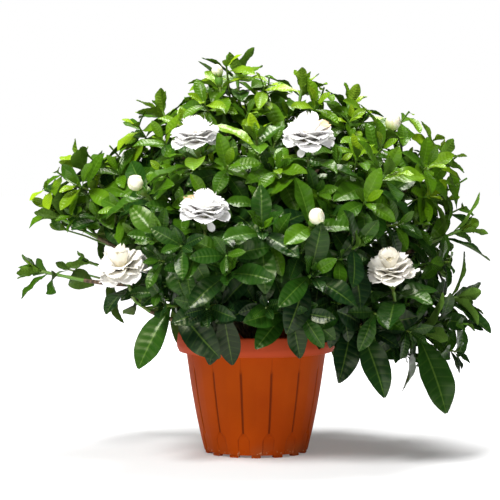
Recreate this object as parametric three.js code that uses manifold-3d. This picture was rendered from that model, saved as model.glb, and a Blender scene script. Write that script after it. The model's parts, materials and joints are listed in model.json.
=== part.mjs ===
// A potted gardenia: a ribbed plastic pot, its soil, the woody branching of the shrub, leafy shoots,
// double white blooms and cream buds. Millimetres, +Z up. The origin is on the pot's axis in the
// plane of its feet, and the front of the plant faces -Y.

import * as THREE from 'three';
import { mergeVertices } from 'three/addons/utils/BufferGeometryUtils.js';
import Module from 'manifold-3d';

const wasm = await Module();
wasm.setup();

// Clearance between pieces that rest on or against each other
const GAP = 0.3;

// Pot: body, rim band, staves and feet
const POT_HEIGHT = 184;
const POT_WALL = 3.2;
const POT_FLOOR = 4;
const POT_SIDES = 28;
const FOOT_RADIUS = 79;
const BODY_RADIUS = 107;
const RIM_RADIUS = 121;
const RIM_HEIGHT = 29;
const STAVES = 14;
const FOOT_HEIGHT = 4;
const FOOT_WIDTH = 14;
const FOOT_DEPTH = 9;
const GROOVE_WIDTH = 2.4;
const GROOVE_DEPTH = 1.3;
const GROOVE_TOP = 132;
const GROOVE_MIDDLE = 85;
const ARCH_WIDTH = 18;
const ARCH_HEIGHT = 38;
const ARCH_DEPTH = 1.5;

// Soil and the foot of the shrub
const SOIL_TOP = 158;
const TRUNK_RADIUS = 9;
const TRUNK_SINK = 60;
const TRUNK_TOP = 182;
const TRUNK_SIDES = 8;
const SOIL_FLAT = 40;

// Wood and green stems
const LIMB_RADIUS = 6;
const TWIG_START_RADIUS = 4;
const STEM_RADIUS = 3.2;
const STEM_LENGTH = 66;
const STEM_PEAK = 7;
const LEAF_ROOT_HEIGHT = 4;
const CALYX_HEIGHT = 9;

// Leaves: half-thickness at the rib, fold of the two halves, and margin kept to what is near
const RIB_HALF = 1.0;
const ROOT_HALF_WIDTH = 2.9;
const ROOT_HALF_DEPTH = 2.2;
const LEAF_FOLD = 0.24;
const LEAF_MARGIN = 1.2;
const LONG_LEAF = 90;
const PAST_ROOT = 0.06;
const PAST_STEM = 0.2;

// Petals: half-thickness
const PETAL_HALF = 0.9;

const degrees = THREE.MathUtils.degToRad;
const UP = new THREE.Vector3(0, 0, 1);
const FRONT = new THREE.Vector3(0, -1, 0);

function vector(x, y, z) {
  return new THREE.Vector3(x, y, z);
}

// Solids: from a geometry to a closed solid and back

function solidOf(geometry) {
  const bare = geometry.clone();
  bare.deleteAttribute('normal');
  bare.deleteAttribute('uv');
  const merged = mergeVertices(bare, 1e-4);
  return new wasm.Manifold(new wasm.Mesh({
    numProp: 3,
    vertProperties: new Float32Array(merged.attributes.position.array),
    triVerts: new Uint32Array(merged.index.array),
  }));
}

function geometryOf(solid) {
  const mesh = solid.getMesh();
  const geometry = new THREE.BufferGeometry();
  geometry.setAttribute('position', new THREE.BufferAttribute(new Float32Array(mesh.vertProperties), 3));
  geometry.setIndex(new THREE.BufferAttribute(new Uint32Array(mesh.triVerts), 1));
  geometry.computeVertexNormals();
  return geometry;
}

// A loft through rings of equal count, closed by a cap or a single point at each end. On a ring of
// four the diagonals run from rib to edge on both faces, so a bent blade keeps its thickness.
function loft(rings) {
  const points = rings.flat();
  const starts = [];
  let count = 0;
  for (const ring of rings) {
    starts.push(count);
    count += ring.length;
  }
  const faces = [];
  for (let i = 0; i + 1 < rings.length; i += 1) {
    const a = rings[i].length;
    const b = rings[i + 1].length;
    const sides = Math.max(a, b);
    for (let k = 0; k < sides; k += 1) {
      const next = (k + 1) % sides;
      const a0 = starts[i] + (a === 1 ? 0 : k);
      const a1 = starts[i] + (a === 1 ? 0 : next);
      const b0 = starts[i + 1] + (b === 1 ? 0 : k);
      const b1 = starts[i + 1] + (b === 1 ? 0 : next);
      if (a === 1) {
        faces.push([a0, b0, b1]);
      } else if (b === 1) {
        faces.push([a0, b0, a1]);
      } else if (k % 2 === 0) {
        faces.push([a0, b0, a1], [a1, b0, b1]);
      } else {
        faces.push([a0, b0, b1], [a0, b1, a1]);
      }
    }
  }
  closeEnd(faces, starts[0], rings[0].length, false);
  closeEnd(faces, starts.at(-1), rings.at(-1).length, true);
  return facingOut({ points, faces });
}

function closeEnd(faces, start, count, reverse) {
  for (let k = 1; k + 2 <= count; k += 1) {
    const corner = [start + 1, start + ((1 + k) % count), start + ((2 + k) % count)];
    if (new Set(corner).size === 3) {
      faces.push(reverse ? corner.reverse() : corner);
    }
  }
}

function facingOut(form) {
  let volume = 0;
  for (const [a, b, c] of form.faces) {
    volume += form.points[a].dot(form.points[b].clone().cross(form.points[c]));
  }
  if (volume < 0) {
    form.faces.forEach((face) => face.reverse());
  }
  return form;
}

function solidOfForm({ points, faces }) {
  return new wasm.Manifold(new wasm.Mesh({
    numProp: 3,
    vertProperties: new Float32Array(points.flatMap((p) => [p.x, p.y, p.z])),
    triVerts: new Uint32Array(faces.flat()),
  }));
}

function ringAround(centre, axis, radius, sides, turn = 0, frame = crossAxes(axis)) {
  const { across, over } = frame;
  const ring = [];
  for (let k = 0; k < sides; k += 1) {
    const angle = turn + (k * 2 * Math.PI) / sides;
    ring.push(centre.clone()
      .addScaledVector(across, radius * Math.cos(angle))
      .addScaledVector(over, radius * Math.sin(angle)));
  }
  return ring;
}

function crossAxes(axis) {
  const helper = Math.abs(axis.z) < 0.9 ? UP : vector(0, 1, 0);
  const across = helper.clone().cross(axis).normalize();
  return { across, over: axis.clone().cross(across) };
}

// A tube whose rings carry their cross axes on from ring to ring, so that it doesn't wring itself
function tube(path, radii, sides, lastAxis = null) {
  let { across } = crossAxes(path[1].clone().sub(path[0]).normalize());
  const rings = path.map((point, i) => {
    const before = path[Math.max(i - 1, 0)];
    const after = path[Math.min(i + 1, path.length - 1)];
    const isLast = i === path.length - 1;
    const axis = isLast && lastAxis ? lastAxis : after.clone().sub(before).normalize();
    across = across.clone().addScaledVector(axis, -across.dot(axis)).normalize();
    return ringAround(point, axis, radii[i], sides, 0, { across, over: axis.clone().cross(across) });
  });
  return loft(rings);
}

// Seeded draws: each shoot and leaf has its own, so no change to one moves another
function draw(shoot, leaf, which) {
  let state = (shoot * 7919 + leaf * 271 + which * 31 + 17) >>> 0;
  for (let round = 0; round < 3; round += 1) {
    state = (Math.imul(state, 1664525) + 1013904223) >>> 0;
  }
  return state / 4294967296;
}

// Pot: a turned shell with a rim band, fourteen staves parted by grooves, an arch at the foot of
// each groove and a small foot under each stave

function potRadius(z) {
  const t = z / (POT_HEIGHT - RIM_HEIGHT);
  return FOOT_RADIUS + (BODY_RADIUS - FOOT_RADIUS) * (1.42 * t - 0.42 * t * t);
}

function potShell() {
  const band = POT_HEIGHT - RIM_HEIGHT;
  const outer = [0.03, 0.3, 0.62, 0.97].map((t) => [potRadius(t * band), t * band]);
  outer[0][1] = FOOT_HEIGHT;
  const rim = [
    [RIM_RADIUS - 3, band + 2],
    [RIM_RADIUS + 1, band + 9],
    [RIM_RADIUS - 1.5, POT_HEIGHT - 1],
    [RIM_RADIUS - 3, POT_HEIGHT],
    [RIM_RADIUS - 5, POT_HEIGHT - 1],
    [RIM_RADIUS - 5, band + 4],
  ];
  const floor = FOOT_HEIGHT + POT_FLOOR;
  const inner = [0.97, 0.5].map((t) => [potRadius(t * band) - POT_WALL, t * band]);
  inner.push([potRadius(floor) - POT_WALL, floor]);
  const profile = [[0, FOOT_HEIGHT], ...outer, ...rim, ...inner, [0, floor]];
  const lathe = new THREE.LatheGeometry(profile.map(([r, z]) => new THREE.Vector2(r, z)), POT_SIDES);
  lathe.rotateX(Math.PI / 2);
  lathe.rotateZ(Math.PI / POT_SIDES);
  return solidOf(lathe);
}

function radialBlock(angle, outline, inside, outside) {
  const out = vector(Math.cos(angle), Math.sin(angle), 0);
  const along = vector(-Math.sin(angle), Math.cos(angle), 0);
  const wall = (depth) => outline.map(([s, z]) => vector(0, 0, z)
    .addScaledVector(out, potRadius(z) + depth)
    .addScaledVector(along, s));
  return solidOfForm(loft([wall(inside), wall(outside)]));
}

function potStaves() {
  const half = GROOVE_WIDTH / 2;
  const arch = ARCH_WIDTH / 2;
  const groove = [
    [-half, ARCH_HEIGHT - 2], [half, ARCH_HEIGHT - 2], [half, GROOVE_MIDDLE], [half, GROOVE_TOP],
    [-half, GROOVE_TOP], [-half, GROOVE_MIDDLE],
  ];
  const archOutline = [
    [-arch, FOOT_HEIGHT - 3], [arch, FOOT_HEIGHT - 3], [arch, ARCH_HEIGHT - 9],
    [arch * 0.55, ARCH_HEIGHT - 1.5], [-arch * 0.55, ARCH_HEIGHT - 1.5], [-arch, ARCH_HEIGHT - 9],
  ];
  const cuts = [];
  for (let k = 0; k < STAVES; k += 1) {
    const angle = -Math.PI / 2 + ((k + 0.5) * 2 * Math.PI) / STAVES;
    cuts.push(radialBlock(angle, groove, -GROOVE_DEPTH, 3));
    cuts.push(radialBlock(angle, archOutline, -ARCH_DEPTH, 4));
  }
  return wasm.Manifold.union(cuts);
}

function potFeet() {
  const feet = [];
  for (let k = 0; k < STAVES; k += 1) {
    const box = new THREE.BoxGeometry(FOOT_DEPTH, FOOT_WIDTH, FOOT_HEIGHT + 2);
    box.translate(FOOT_RADIUS - FOOT_DEPTH / 2 - 0.8, 0, (FOOT_HEIGHT + 2) / 2);
    box.rotateZ(-Math.PI / 2 + (k * 2 * Math.PI) / STAVES);
    feet.push(solidOf(box));
  }
  return wasm.Manifold.union(feet);
}

function pot() {
  return potShell().subtract(potStaves()).add(potFeet());
}

// Soil: fills the pot, with a plain hole for the foot of the shrub

function soil() {
  const bottom = FOOT_HEIGHT + POT_FLOOR + GAP;
  const band = POT_HEIGHT - RIM_HEIGHT;
  const inner = (z) => potRadius(z) - POT_WALL - GAP;
  const profile = [
    [0, bottom],
    [inner(bottom), bottom],
    [inner(band * 0.5), band * 0.5],
    [inner(band * 0.93), band * 0.93],
    [SOIL_FLAT, SOIL_TOP],
    [0, SOIL_TOP],
  ];
  const heap = new THREE.LatheGeometry(profile.map(([r, z]) => new THREE.Vector2(r, z)), POT_SIDES);
  heap.rotateX(Math.PI / 2);
  heap.rotateZ(Math.PI / POT_SIDES);
  const radius = TRUNK_RADIUS + GAP;
  const height = TRUNK_SINK * 1.5;
  const hole = new THREE.CylinderGeometry(radius, radius, height, TRUNK_SIDES);
  hole.rotateX(Math.PI / 2);
  hole.rotateZ(Math.PI / TRUNK_SIDES);
  hole.translate(0, 0, SOIL_TOP - TRUNK_SINK - GAP + height / 2);
  return solidOf(heap).subtract(solidOf(hole));
}

// The shrub's limbs end at forks, from which a twig runs to each shoot
const FORKS = {
  top: [-5, 10, 400],
  front_left: [-75, -85, 300],
  front_right: [80, -85, 300],
  right: [130, 5, 285],
  left: [-135, 0, 285],
  back_left: [-75, 100, 300],
  back_right: [75, 105, 300],
  low_front: [0, -110, 245],
};

// Shoots: the heart of each leaf rosette, the length of its full leaves and its whorls. `bloom` and
// `bud` give the size of the flower at its tip, `tilt` the way it faces where that isn't outward,
// `tips` the points that some of its leaves reach, and `bare` the whorl and place, written as two
// digits, of each leaf that has fallen.
const SHOOTS = [
  {
    name: 'top', at: [-29, 10, 578], leaf: 82, whorls: 4,
    tips: [[-2, -8, 620], [-90, 10, 600]],
  },
  { name: 'top_right', at: [71, 40, 557], leaf: 72, whorls: 4 },
  { name: 'crown_right', at: [146, 50, 534], leaf: 74, whorls: 4 },
  { name: 'crown_back', at: [10, 100, 512], leaf: 72, whorls: 3, bloom: 0.7 },
  { name: 'crown_left', at: [-144, 30, 521], leaf: 80, whorls: 4 },
  { name: 'upper_left', at: [-85, -162, 460], leaf: 84, whorls: 3, bloom: 0.82, tilt: [-0.12, -0.26, 0.96] },
  { name: 'crown_front', at: [0, -140, 476], leaf: 80, whorls: 4 },
  { name: 'upper_right', at: [75, -166, 459], leaf: 84, whorls: 3, bloom: 0.9, tilt: [0, -0.3, 0.95] },
  { name: 'crown_far_right', at: [197, -30, 488], leaf: 76, whorls: 3, bud: 1 },
  { name: 'right_high', at: [282, 0, 450], leaf: 78, whorls: 4 },
  { name: 'right_front_high', at: [187, -150, 425], leaf: 86, whorls: 4 },
  { name: 'left_front_high', at: [-164, -165, 401], leaf: 82, whorls: 3, bud: 1 },
  { name: 'left_high', at: [-268, 0, 436], leaf: 84, whorls: 4 },
  { name: 'left_mid', at: [-300, -15, 360], leaf: 84, whorls: 3, bare: [12, 21, 22] },
  { name: 'front_high', at: [-73, -231, 354], leaf: 84, whorls: 3, bloom: 0.88, tilt: [0, -0.3, 0.95] },
  { name: 'front', at: [8, -245, 348], leaf: 84, whorls: 4 },
  { name: 'front_mid_right', at: [79, -230, 357], leaf: 82, whorls: 3, bud: 1 },
  { name: 'front_right', at: [143, -215, 325], leaf: 88, whorls: 4, bare: [1, 11] },
  { name: 'front_left', at: [-137, -215, 333], leaf: 86, whorls: 3, bare: [12] },
  {
    name: 'left_front', at: [-187, -168, 272], leaf: 84, whorls: 3,
    bloom: 0.98, tilt: [-0.3, -0.35, 0.89], bare: [20, 21, 30],
  },
  {
    name: 'left_low', at: [-328, -20, 278], leaf: 80, whorls: 4,
    tips: [[-370, -20, 285], [-356, -40, 236]], bare: [11, 21, 22, 30, 32],
  },
  {
    name: 'right_mid', at: [312, 0, 340], leaf: 84, whorls: 3,
    tips: [[360, 0, 292], [343, 0, 400]], bare: [11],
  },
  { name: 'right_front', at: [197, -174, 266], leaf: 86, whorls: 3, bloom: 0.95, tilt: [-0.15, -0.35, 0.92] },
  {
    name: 'right_low', at: [306, -40, 240], leaf: 84, whorls: 4,
    tips: [[354, -60, 186], [358, -40, 222]],
  },
  {
    name: 'skirt_right', at: [250, -90, 190], leaf: 100, whorls: 3,
    tips: [[282, -110, 70], [322, -80, 132]],
  },
  {
    name: 'skirt_front_right', at: [158, -165, 205], leaf: 104, whorls: 3,
    tips: [[185, -190, 103], [118, -185, 124]],
  },
  {
    name: 'skirt_left', at: [-130, -185, 238], leaf: 104, whorls: 3,
    tips: [[-170, -200, 146], [-194, -215, 213]], bare: [2, 11, 21],
  },
  {
    name: 'skirt_front_left', at: [-52, -205, 238], leaf: 96, whorls: 3,
    tips: [[-68, -180, 150], [-34, -182, 150]],
  },
  {
    name: 'skirt_front', at: [50, -205, 232], leaf: 96, whorls: 3,
    tips: [[63, -185, 160], [-2, -222, 177]],
  },
  { name: 'low_front_right', at: [78, -240, 285], leaf: 90, whorls: 3 },
  { name: 'low_front_left', at: [-40, -245, 290], leaf: 90, whorls: 3 },
  { name: 'back_crown_left', at: [-125, 120, 495], leaf: 78, whorls: 3 },
  { name: 'back_crown_right', at: [130, 135, 485], leaf: 78, whorls: 3 },
  { name: 'back_high', at: [5, 205, 438], leaf: 82, whorls: 3, bloom: 0.85, tilt: [0.05, 0.5, 0.86] },
  { name: 'back_left_high', at: [-225, 120, 400], leaf: 84, whorls: 3 },
  { name: 'back_right_high', at: [225, 125, 395], leaf: 84, whorls: 3 },
  {
    name: 'back_mid_left', at: [-130, 220, 338], leaf: 86, whorls: 3,
    bloom: 0.85, tilt: [-0.2, 0.6, 0.77],
  },
  { name: 'back_mid_right', at: [130, 230, 335], leaf: 90, whorls: 4 },
  { name: 'back_mid', at: [0, 252, 320], leaf: 86, whorls: 4 },
  { name: 'back_left', at: [-265, 120, 285], leaf: 90, whorls: 4, bare: [1, 10, 11, 12, 21, 22, 32] },
  { name: 'back_right', at: [265, 125, 275], leaf: 90, whorls: 4 },
  { name: 'back_low_left', at: [-150, 205, 220], leaf: 100, whorls: 3, bare: [10, 20] },
  { name: 'back_low_right', at: [150, 205, 215], leaf: 100, whorls: 3 },
  { name: 'top_left', at: [-56, -40, 566], leaf: 62, whorls: 3, bud: 0.75 },
];

// Where `tips` gives a point, the leaf of the whorl wall that faces it best is aimed there. It shows
// its face outward, and the more it hangs the more it turns it to the front.
const AIMED_ARCH = 0.45;
const LEAST_FACING = 0.3;

// Whorls from the tip down: place along the stem, angle from it, share of full length, arch of the
// blade and how far its own weight turns it down
const WHORLS = [
  { down: 2, angle: 26, share: 0.55, arch: 0.35, sag: 0 },
  { down: 11, angle: 52, share: 0.86, arch: 0.6, sag: 0.08 },
  { down: 26, angle: 74, share: 1, arch: 0.75, sag: 0.2 },
  { down: 46, angle: 92, share: 1, arch: 0.85, sag: 0.36 },
];
const WHORL_LEAVES = 3;
const LEAST_ANGLE = 20;

// Where a leaf would cross something it is turned round the stem, raised or lowered, and shortened
const BENDS = [
  [0, 0, 1], [14, 0, 1], [-14, 0, 1], [0, -14, 1], [0, 14, 1],
  [26, -10, 0.95], [-26, -10, 0.95], [26, 12, 0.92], [-26, 12, 0.92],
  [0, -28, 0.9], [0, 26, 0.88], [38, 0, 0.85], [-38, 0, 0.85],
  [18, -24, 0.8], [-18, -24, 0.8], [18, 24, 0.8], [-18, 24, 0.8],
  [0, 0, 0.7], [30, -30, 0.68], [-30, -30, 0.68],
];

function outward([x, y, z]) {
  return vector(x, y, (z - 215) * 1.1).normalize();
}

function stemOf(shoot) {
  const tip = vector(...shoot.at);
  const axis = shoot.tilt ? vector(...shoot.tilt).normalize() : outward(shoot.at);
  const start = outward(shoot.at).lerp(axis, 0.35).normalize();
  const middle = tip.clone().addScaledVector(axis, -STEM_LENGTH / 2);
  const base = middle.clone().addScaledVector(start, -STEM_LENGTH / 2);
  return { tip, axis, middle, base, start };
}

// The cross axes of the stem's upper half, leaned over with it into its lower half
function stemAxes(shoot, down) {
  const { axis, start } = stemOf(shoot);
  const upper = crossAxes(axis);
  if (down <= STEM_LENGTH / 2) return upper;
  const across = upper.across.clone().addScaledVector(start, -upper.across.dot(start)).normalize();
  return { across, over: start.clone().cross(across) };
}

function alongStem(shoot, down) {
  const stem = stemOf(shoot);
  const half = STEM_LENGTH / 2;
  if (down <= half) {
    return stem.tip.clone().addScaledVector(stem.axis, -down);
  }
  return stem.middle.clone().addScaledVector(stem.start, half - down);
}

// The skin of a stem: rings of points joined into walls, with a blade growing out of any wall

function skin() {
  const points = [];
  const faces = [];
  const addRing = (ring) => ring.map((point) => points.push(point) - 1);
  // A wall is split along its shorter diagonal, which keeps a twisted stem from crossing itself
  const addWall = (low, high, k) => {
    const next = (k + 1) % low.length;
    const straight = points[low[k]].distanceTo(points[high[next]]);
    const other = points[low[next]].distanceTo(points[high[k]]);
    if (straight <= other) faces.push([low[k], low[next], high[next]], [low[k], high[next], high[k]]);
    else faces.push([low[k], low[next], high[k]], [low[next], high[next], high[k]]);
  };
  const addWalls = (low, high) => low.forEach((_, k) => addWall(low, high, k));
  const addFoot = (ring) => {
    for (let k = 1; k + 1 < ring.length; k += 1) faces.push([ring[0], ring[k + 1], ring[k]]);
  };
  const addPeak = (ring, peak) => {
    const top = points.push(peak) - 1;
    ring.forEach((corner, k) => faces.push([corner, ring[(k + 1) % ring.length], top]));
  };
  const addCap = (ring) => {
    for (let k = 1; k + 1 < ring.length; k += 1) faces.push([ring[0], ring[k], ring[k + 1]]);
  };
  // The wall's corners and the blade's rings both run under side, first edge, upper side, other edge
  const addBlade = (low, high, k, blade) => {
    const next = (k + 1) % low.length;
    const root = [low[next], low[k], high[k], high[next]];
    let ring = addRing(bladeRings(blade)[1]);
    for (let i = 0; i < 4; i += 1) {
      const j = (i + 1) % 4;
      faces.push([root[j], root[i], ring[i]], [root[j], ring[i], ring[j]]);
    }
    for (const points4 of bladeRings(blade).slice(2, -1)) {
      const far = addRing(points4);
      for (let i = 0; i < 4; i += 1) {
        const j = (i + 1) % 4;
        if (i % 2 === 0) faces.push([ring[j], ring[i], far[j]], [ring[i], far[i], far[j]]);
        else faces.push([ring[j], ring[i], far[i]], [ring[j], far[i], far[j]]);
      }
      ring = far;
    }
    const tip = points.push(leafPoint(blade, 1).centre) - 1;
    for (let i = 0; i < 4; i += 1) faces.push([ring[(i + 1) % 4], ring[i], tip]);
  };
  return { points, faces, addRing, addWall, addWalls, addFoot, addPeak, addCap, addBlade };
}

// Each whorl turns by about a sixth of a circle from the one below it
function whorlTurn(index, whorl) {
  return whorl * 1.05 + index * 2.4;
}

function whorlsOf(shoot) {
  const first = shoot.bloom || shoot.bud ? 1 : 0;
  return WHORLS.map((_, whorl) => whorl).slice(first, first + shoot.whorls);
}

function shootForm(shoot, index, leaves) {
  const { tip, base, axis, start } = stemOf(shoot);
  const body = skin();
  const third = (2 * Math.PI) / WHORL_LEAVES;
  let turn = whorlTurn(index, whorlsOf(shoot).at(-1));
  const lowest = stemAxes(shoot, STEM_LENGTH);
  let low = body.addRing(ringAround(base, start, STEM_RADIUS, 3, turn - third / 2, lowest));
  body.addFoot(low);
  for (const whorl of whorlsOf(shoot).reverse()) {
    const steps = Math.round((turn - whorlTurn(index, whorl)) / third);
    turn = whorlTurn(index, whorl) + steps * third;
    const { down } = WHORLS[whorl];
    const rings = [down + LEAF_ROOT_HEIGHT / 2, down - LEAF_ROOT_HEIGHT / 2].map((place) => body.addRing(
      ringAround(alongStem(shoot, place), axis, STEM_RADIUS, 3, turn - third / 2, stemAxes(shoot, down)),
    ));
    body.addWalls(low, rings[0]);
    for (let k = 0; k < WHORL_LEAVES; k += 1) {
      const place = (((k + steps) % WHORL_LEAVES) + WHORL_LEAVES) % WHORL_LEAVES;
      const leaf = leaves.find((one) => one.whorl === whorl && one.place === place);
      if (leaf) body.addBlade(rings[0], rings[1], k, leaf);
      else body.addWall(rings[0], rings[1], k);
    }
    low = rings[1];
  }
  if (shoot.bloom || shoot.bud) {
    const cup = tip.clone().addScaledVector(axis, calyxHeight(shoot));
    const brim = body.addRing(ringAround(cup, axis, calyxHeight(shoot) * 0.6, 3, turn - third / 2));
    body.addWalls(low, brim);
    body.addCap(brim);
  } else {
    body.addPeak(low, tip.clone().addScaledVector(axis, STEM_PEAK));
  }
  return facingOut({ points: body.points, faces: body.faces });
}

function calyxHeight(shoot) {
  return shoot.bloom ? CALYX_HEIGHT : CALYX_HEIGHT * 0.75;
}

// Twigs and limbs

function bowed(from, to, direction, steps) {
  const pull = from.distanceTo(to) * 0.45;
  const bend = to.clone().addScaledVector(direction, -pull);
  return new THREE.QuadraticBezierCurve3(from, bend, to).getPoints(steps);
}

function limbPath(place, index) {
  const end = vector(...place);
  const angle = (index * 2 * Math.PI) / 7;
  const from = vector(2.5 * Math.cos(angle), 2.5 * Math.sin(angle), TRUNK_TOP - 16);
  const lean = end.clone().sub(from).normalize().lerp(UP, -0.25).normalize();
  return bowed(from, end, lean, 2);
}

function limbForm(place, index) {
  return tube(limbPath(place, index), [LIMB_RADIUS, LIMB_RADIUS - 0.6, LIMB_RADIUS - 1.6], 5);
}

// Each twig leaves the nearest limb, a little below the one before it
const FORK_STEP = 0.18;
const twigCounts = new Map();

function forkFor(shoot) {
  const { base } = stemOf(shoot);
  const ends = Object.values(FORKS);
  const reach = (place) => vector(...place).distanceTo(base) + Math.max(0, place[2] - base.z) * 0.8;
  const place = ends.reduce((best, one) => (reach(one) < reach(best) ? one : best));
  const order = twigCounts.get(place) ?? 0;
  twigCounts.set(place, order + 1);
  const [, middle, end] = limbPath(place, ends.indexOf(place));
  return end.clone().lerp(middle, order * FORK_STEP);
}

const forks = SHOOTS.map(forkFor);

function twigForm(shoot, index) {
  const { base, start } = stemOf(shoot);
  const end = base.clone().addScaledVector(start, -GAP);
  const path = bowed(forks[index], end, start, forks[index].distanceTo(end) > 80 ? 2 : 1);
  const radii = path.map((_, i) => {
    const t = i / (path.length - 1);
    return TWIG_START_RADIUS + (STEM_RADIUS - TWIG_START_RADIUS) * t;
  });
  return tube(path, radii, 3, start);
}

function trunk() {
  const height = TRUNK_TOP - (SOIL_TOP - TRUNK_SINK);
  const post = new THREE.CylinderGeometry(TRUNK_RADIUS * 0.92, TRUNK_RADIUS, height, TRUNK_SIDES);
  post.rotateX(Math.PI / 2);
  post.rotateZ(Math.PI / TRUNK_SIDES);
  post.translate(0, 0, TRUNK_TOP - height / 2);
  return solidOf(post);
}

// Leaf blades: an arched, folded blade of lens section with a rounded outline and a drawn-out tip

function leafOutline(t) {
  return Math.sin(Math.PI * t ** 1.2) ** 0.85;
}

function leafPoint(leaf, t) {
  const turn = leaf.arch * t;
  const reach = (leaf.length * Math.sin(turn)) / leaf.arch;
  const drop = (leaf.length * (1 - Math.cos(turn))) / leaf.arch;
  const centre = leaf.base.clone()
    .addScaledVector(leaf.heading, reach)
    .addScaledVector(leaf.normal, -drop);
  const normal = leaf.normal.clone().multiplyScalar(Math.cos(turn))
    .addScaledVector(leaf.heading, Math.sin(turn));
  return { centre, normal };
}

function bladeRing(leaf, t, halfWidth, halfDepth, fold) {
  const { centre, normal } = leafPoint(leaf, t);
  const spread = halfWidth * Math.cos(fold);
  const lift = halfWidth * Math.sin(fold);
  const edge = (sign) => centre.clone()
    .addScaledVector(leaf.side, sign * spread)
    .addScaledVector(normal, lift);
  return [
    centre.clone().addScaledVector(normal, -halfDepth),
    edge(1),
    centre.clone().addScaledVector(normal, halfDepth),
    edge(-1),
  ];
}

function bladeRings(leaf, from = 0, margin = 0) {
  const outline = leaf.outline ?? leafOutline;
  const halfDepth = leaf.halfDepth + margin;
  const ringAt = (t) => bladeRing(leaf, t, leaf.halfWidth * outline(t) + margin, halfDepth, leaf.fold);
  const root = from === 0
    ? bladeRing(leaf, 0, ROOT_HALF_WIDTH + margin, ROOT_HALF_DEPTH + margin, 0)
    : ringAt(from);
  return [root, ...leaf.stations.map(ringAt), [leafPoint(leaf, 1 + margin / leaf.length).centre]];
}

function bladeForm(leaf, from = 0, margin = 0) {
  return loft(bladeRings(leaf, from, margin));
}

// Test for crossing: an edge of one form through a face of the other

function testable(form) {
  const edges = [];
  for (const [a, b, c] of form.faces) {
    if (a < b) edges.push([a, b]);
    if (b < c) edges.push([b, c]);
    if (c < a) edges.push([c, a]);
  }
  return { ...form, edges, box: new THREE.Box3().setFromPoints(form.points) };
}

const ray = {
  along: vector(0, 0, 0),
  ab: vector(0, 0, 0),
  ac: vector(0, 0, 0),
  p: vector(0, 0, 0),
  q: vector(0, 0, 0),
};

function edgeHitsFace(from, to, a, b, c) {
  ray.along.subVectors(to, from);
  ray.ab.subVectors(b, a);
  ray.ac.subVectors(c, a);
  ray.p.crossVectors(ray.along, ray.ac);
  const scale = ray.ab.dot(ray.p);
  if (Math.abs(scale) < 1e-9) return false;
  ray.q.subVectors(from, a);
  const u = ray.q.dot(ray.p) / scale;
  if (u < 0 || u > 1) return false;
  ray.q.cross(ray.ab);
  const v = ray.along.dot(ray.q) / scale;
  if (v < 0 || u + v > 1) return false;
  const t = ray.ac.dot(ray.q) / scale;
  return t >= 0 && t <= 1;
}

function edgesHit(one, other) {
  return one.edges.some(([i, j]) => other.faces.some(([a, b, c]) => edgeHitsFace(
    one.points[i], one.points[j], other.points[a], other.points[b], other.points[c],
  )));
}

function crosses(one, other) {
  return one.box.intersectsBox(other.box) && (edgesHit(one, other) || edgesHit(other, one));
}

// Blooms: three layers of broad petals round a small heart. Angles are from the bloom's axis, and
// `low` and `radius` place a layer's roots up and out from its base.

const PETAL_LAYERS = [
  { count: 6, angle: 76, length: 38, halfWidth: 15.5, arch: 0.4, low: 0, radius: 4.4 },
  { count: 6, angle: 49, length: 39, halfWidth: 14.5, arch: 0.35, low: 4.2, radius: 5 },
  { count: 3, angle: 20, length: 39, halfWidth: 13, arch: -0.2, low: 8.4, radius: 4.6 },
];
const PETAL_ROOT_HEIGHT = 3.2;
const HEART_SIDES = 6;
const HEART_PEAK = 24;

function petalOutline(t) {
  return Math.min(1, (t / 0.84) ** 0.72);
}

function bloomBase(shoot) {
  const { tip, axis } = stemOf(shoot);
  return tip.clone().addScaledVector(axis, CALYX_HEIGHT + GAP);
}

function petal(shoot, index, which, k) {
  const { axis } = stemOf(shoot);
  const { across, over } = crossAxes(axis);
  const layer = PETAL_LAYERS[which];
  const id = which * 10 + k;
  const around = ((which * 0.5 + k + 0.5) * 2 * Math.PI) / HEART_SIDES + (draw(index, id, 6) - 0.5) * 0.08;
  const lean = degrees(layer.angle + (draw(index, id, 7) - 0.5) * 6);
  const radial = across.clone().multiplyScalar(Math.cos(around)).addScaledVector(over, Math.sin(around));
  const heading = axis.clone().multiplyScalar(Math.cos(lean)).addScaledVector(radial, Math.sin(lean));
  const normal = axis.clone().multiplyScalar(Math.sin(lean)).addScaledVector(radial, -Math.cos(lean));
  const size = shoot.bloom;
  const base = bloomBase(shoot)
    .addScaledVector(axis, (layer.low + PETAL_ROOT_HEIGHT / 2) * size)
    .addScaledVector(radial, layer.radius * size * 0.87);
  return {
    base,
    heading,
    normal,
    side: heading.clone().cross(normal),
    length: layer.length * size * (0.94 + 0.12 * draw(index, id, 8)),
    halfWidth: layer.halfWidth * size,
    halfDepth: PETAL_HALF,
    arch: layer.arch,
    fold: 0.2,
    outline: petalOutline,
    stations: [0.42, 0.84],
  };
}

function bloomForm(shoot, index) {
  const { axis } = stemOf(shoot);
  const base = bloomBase(shoot);
  const size = shoot.bloom;
  const body = skin();
  let low = null;
  PETAL_LAYERS.forEach((layer, which) => {
    const turn = (which * 0.5 * 2 * Math.PI) / HEART_SIDES;
    const rings = [layer.low, layer.low + PETAL_ROOT_HEIGHT].map((up) => body.addRing(ringAround(
      base.clone().addScaledVector(axis, up * size), axis, layer.radius * size, HEART_SIDES, turn,
    )));
    if (low) body.addWalls(low, rings[0]);
    else body.addFoot(rings[0]);
    const every = HEART_SIDES / layer.count;
    for (let k = 0; k < HEART_SIDES; k += 1) {
      if (k % every === 0) body.addBlade(rings[0], rings[1], k, petal(shoot, index, which, k));
      else body.addWall(rings[0], rings[1], k);
    }
    low = rings[1];
  });
  body.addPeak(low, base.clone().addScaledVector(axis, HEART_PEAK * size));
  return facingOut({ points: body.points, faces: body.faces });
}

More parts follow.
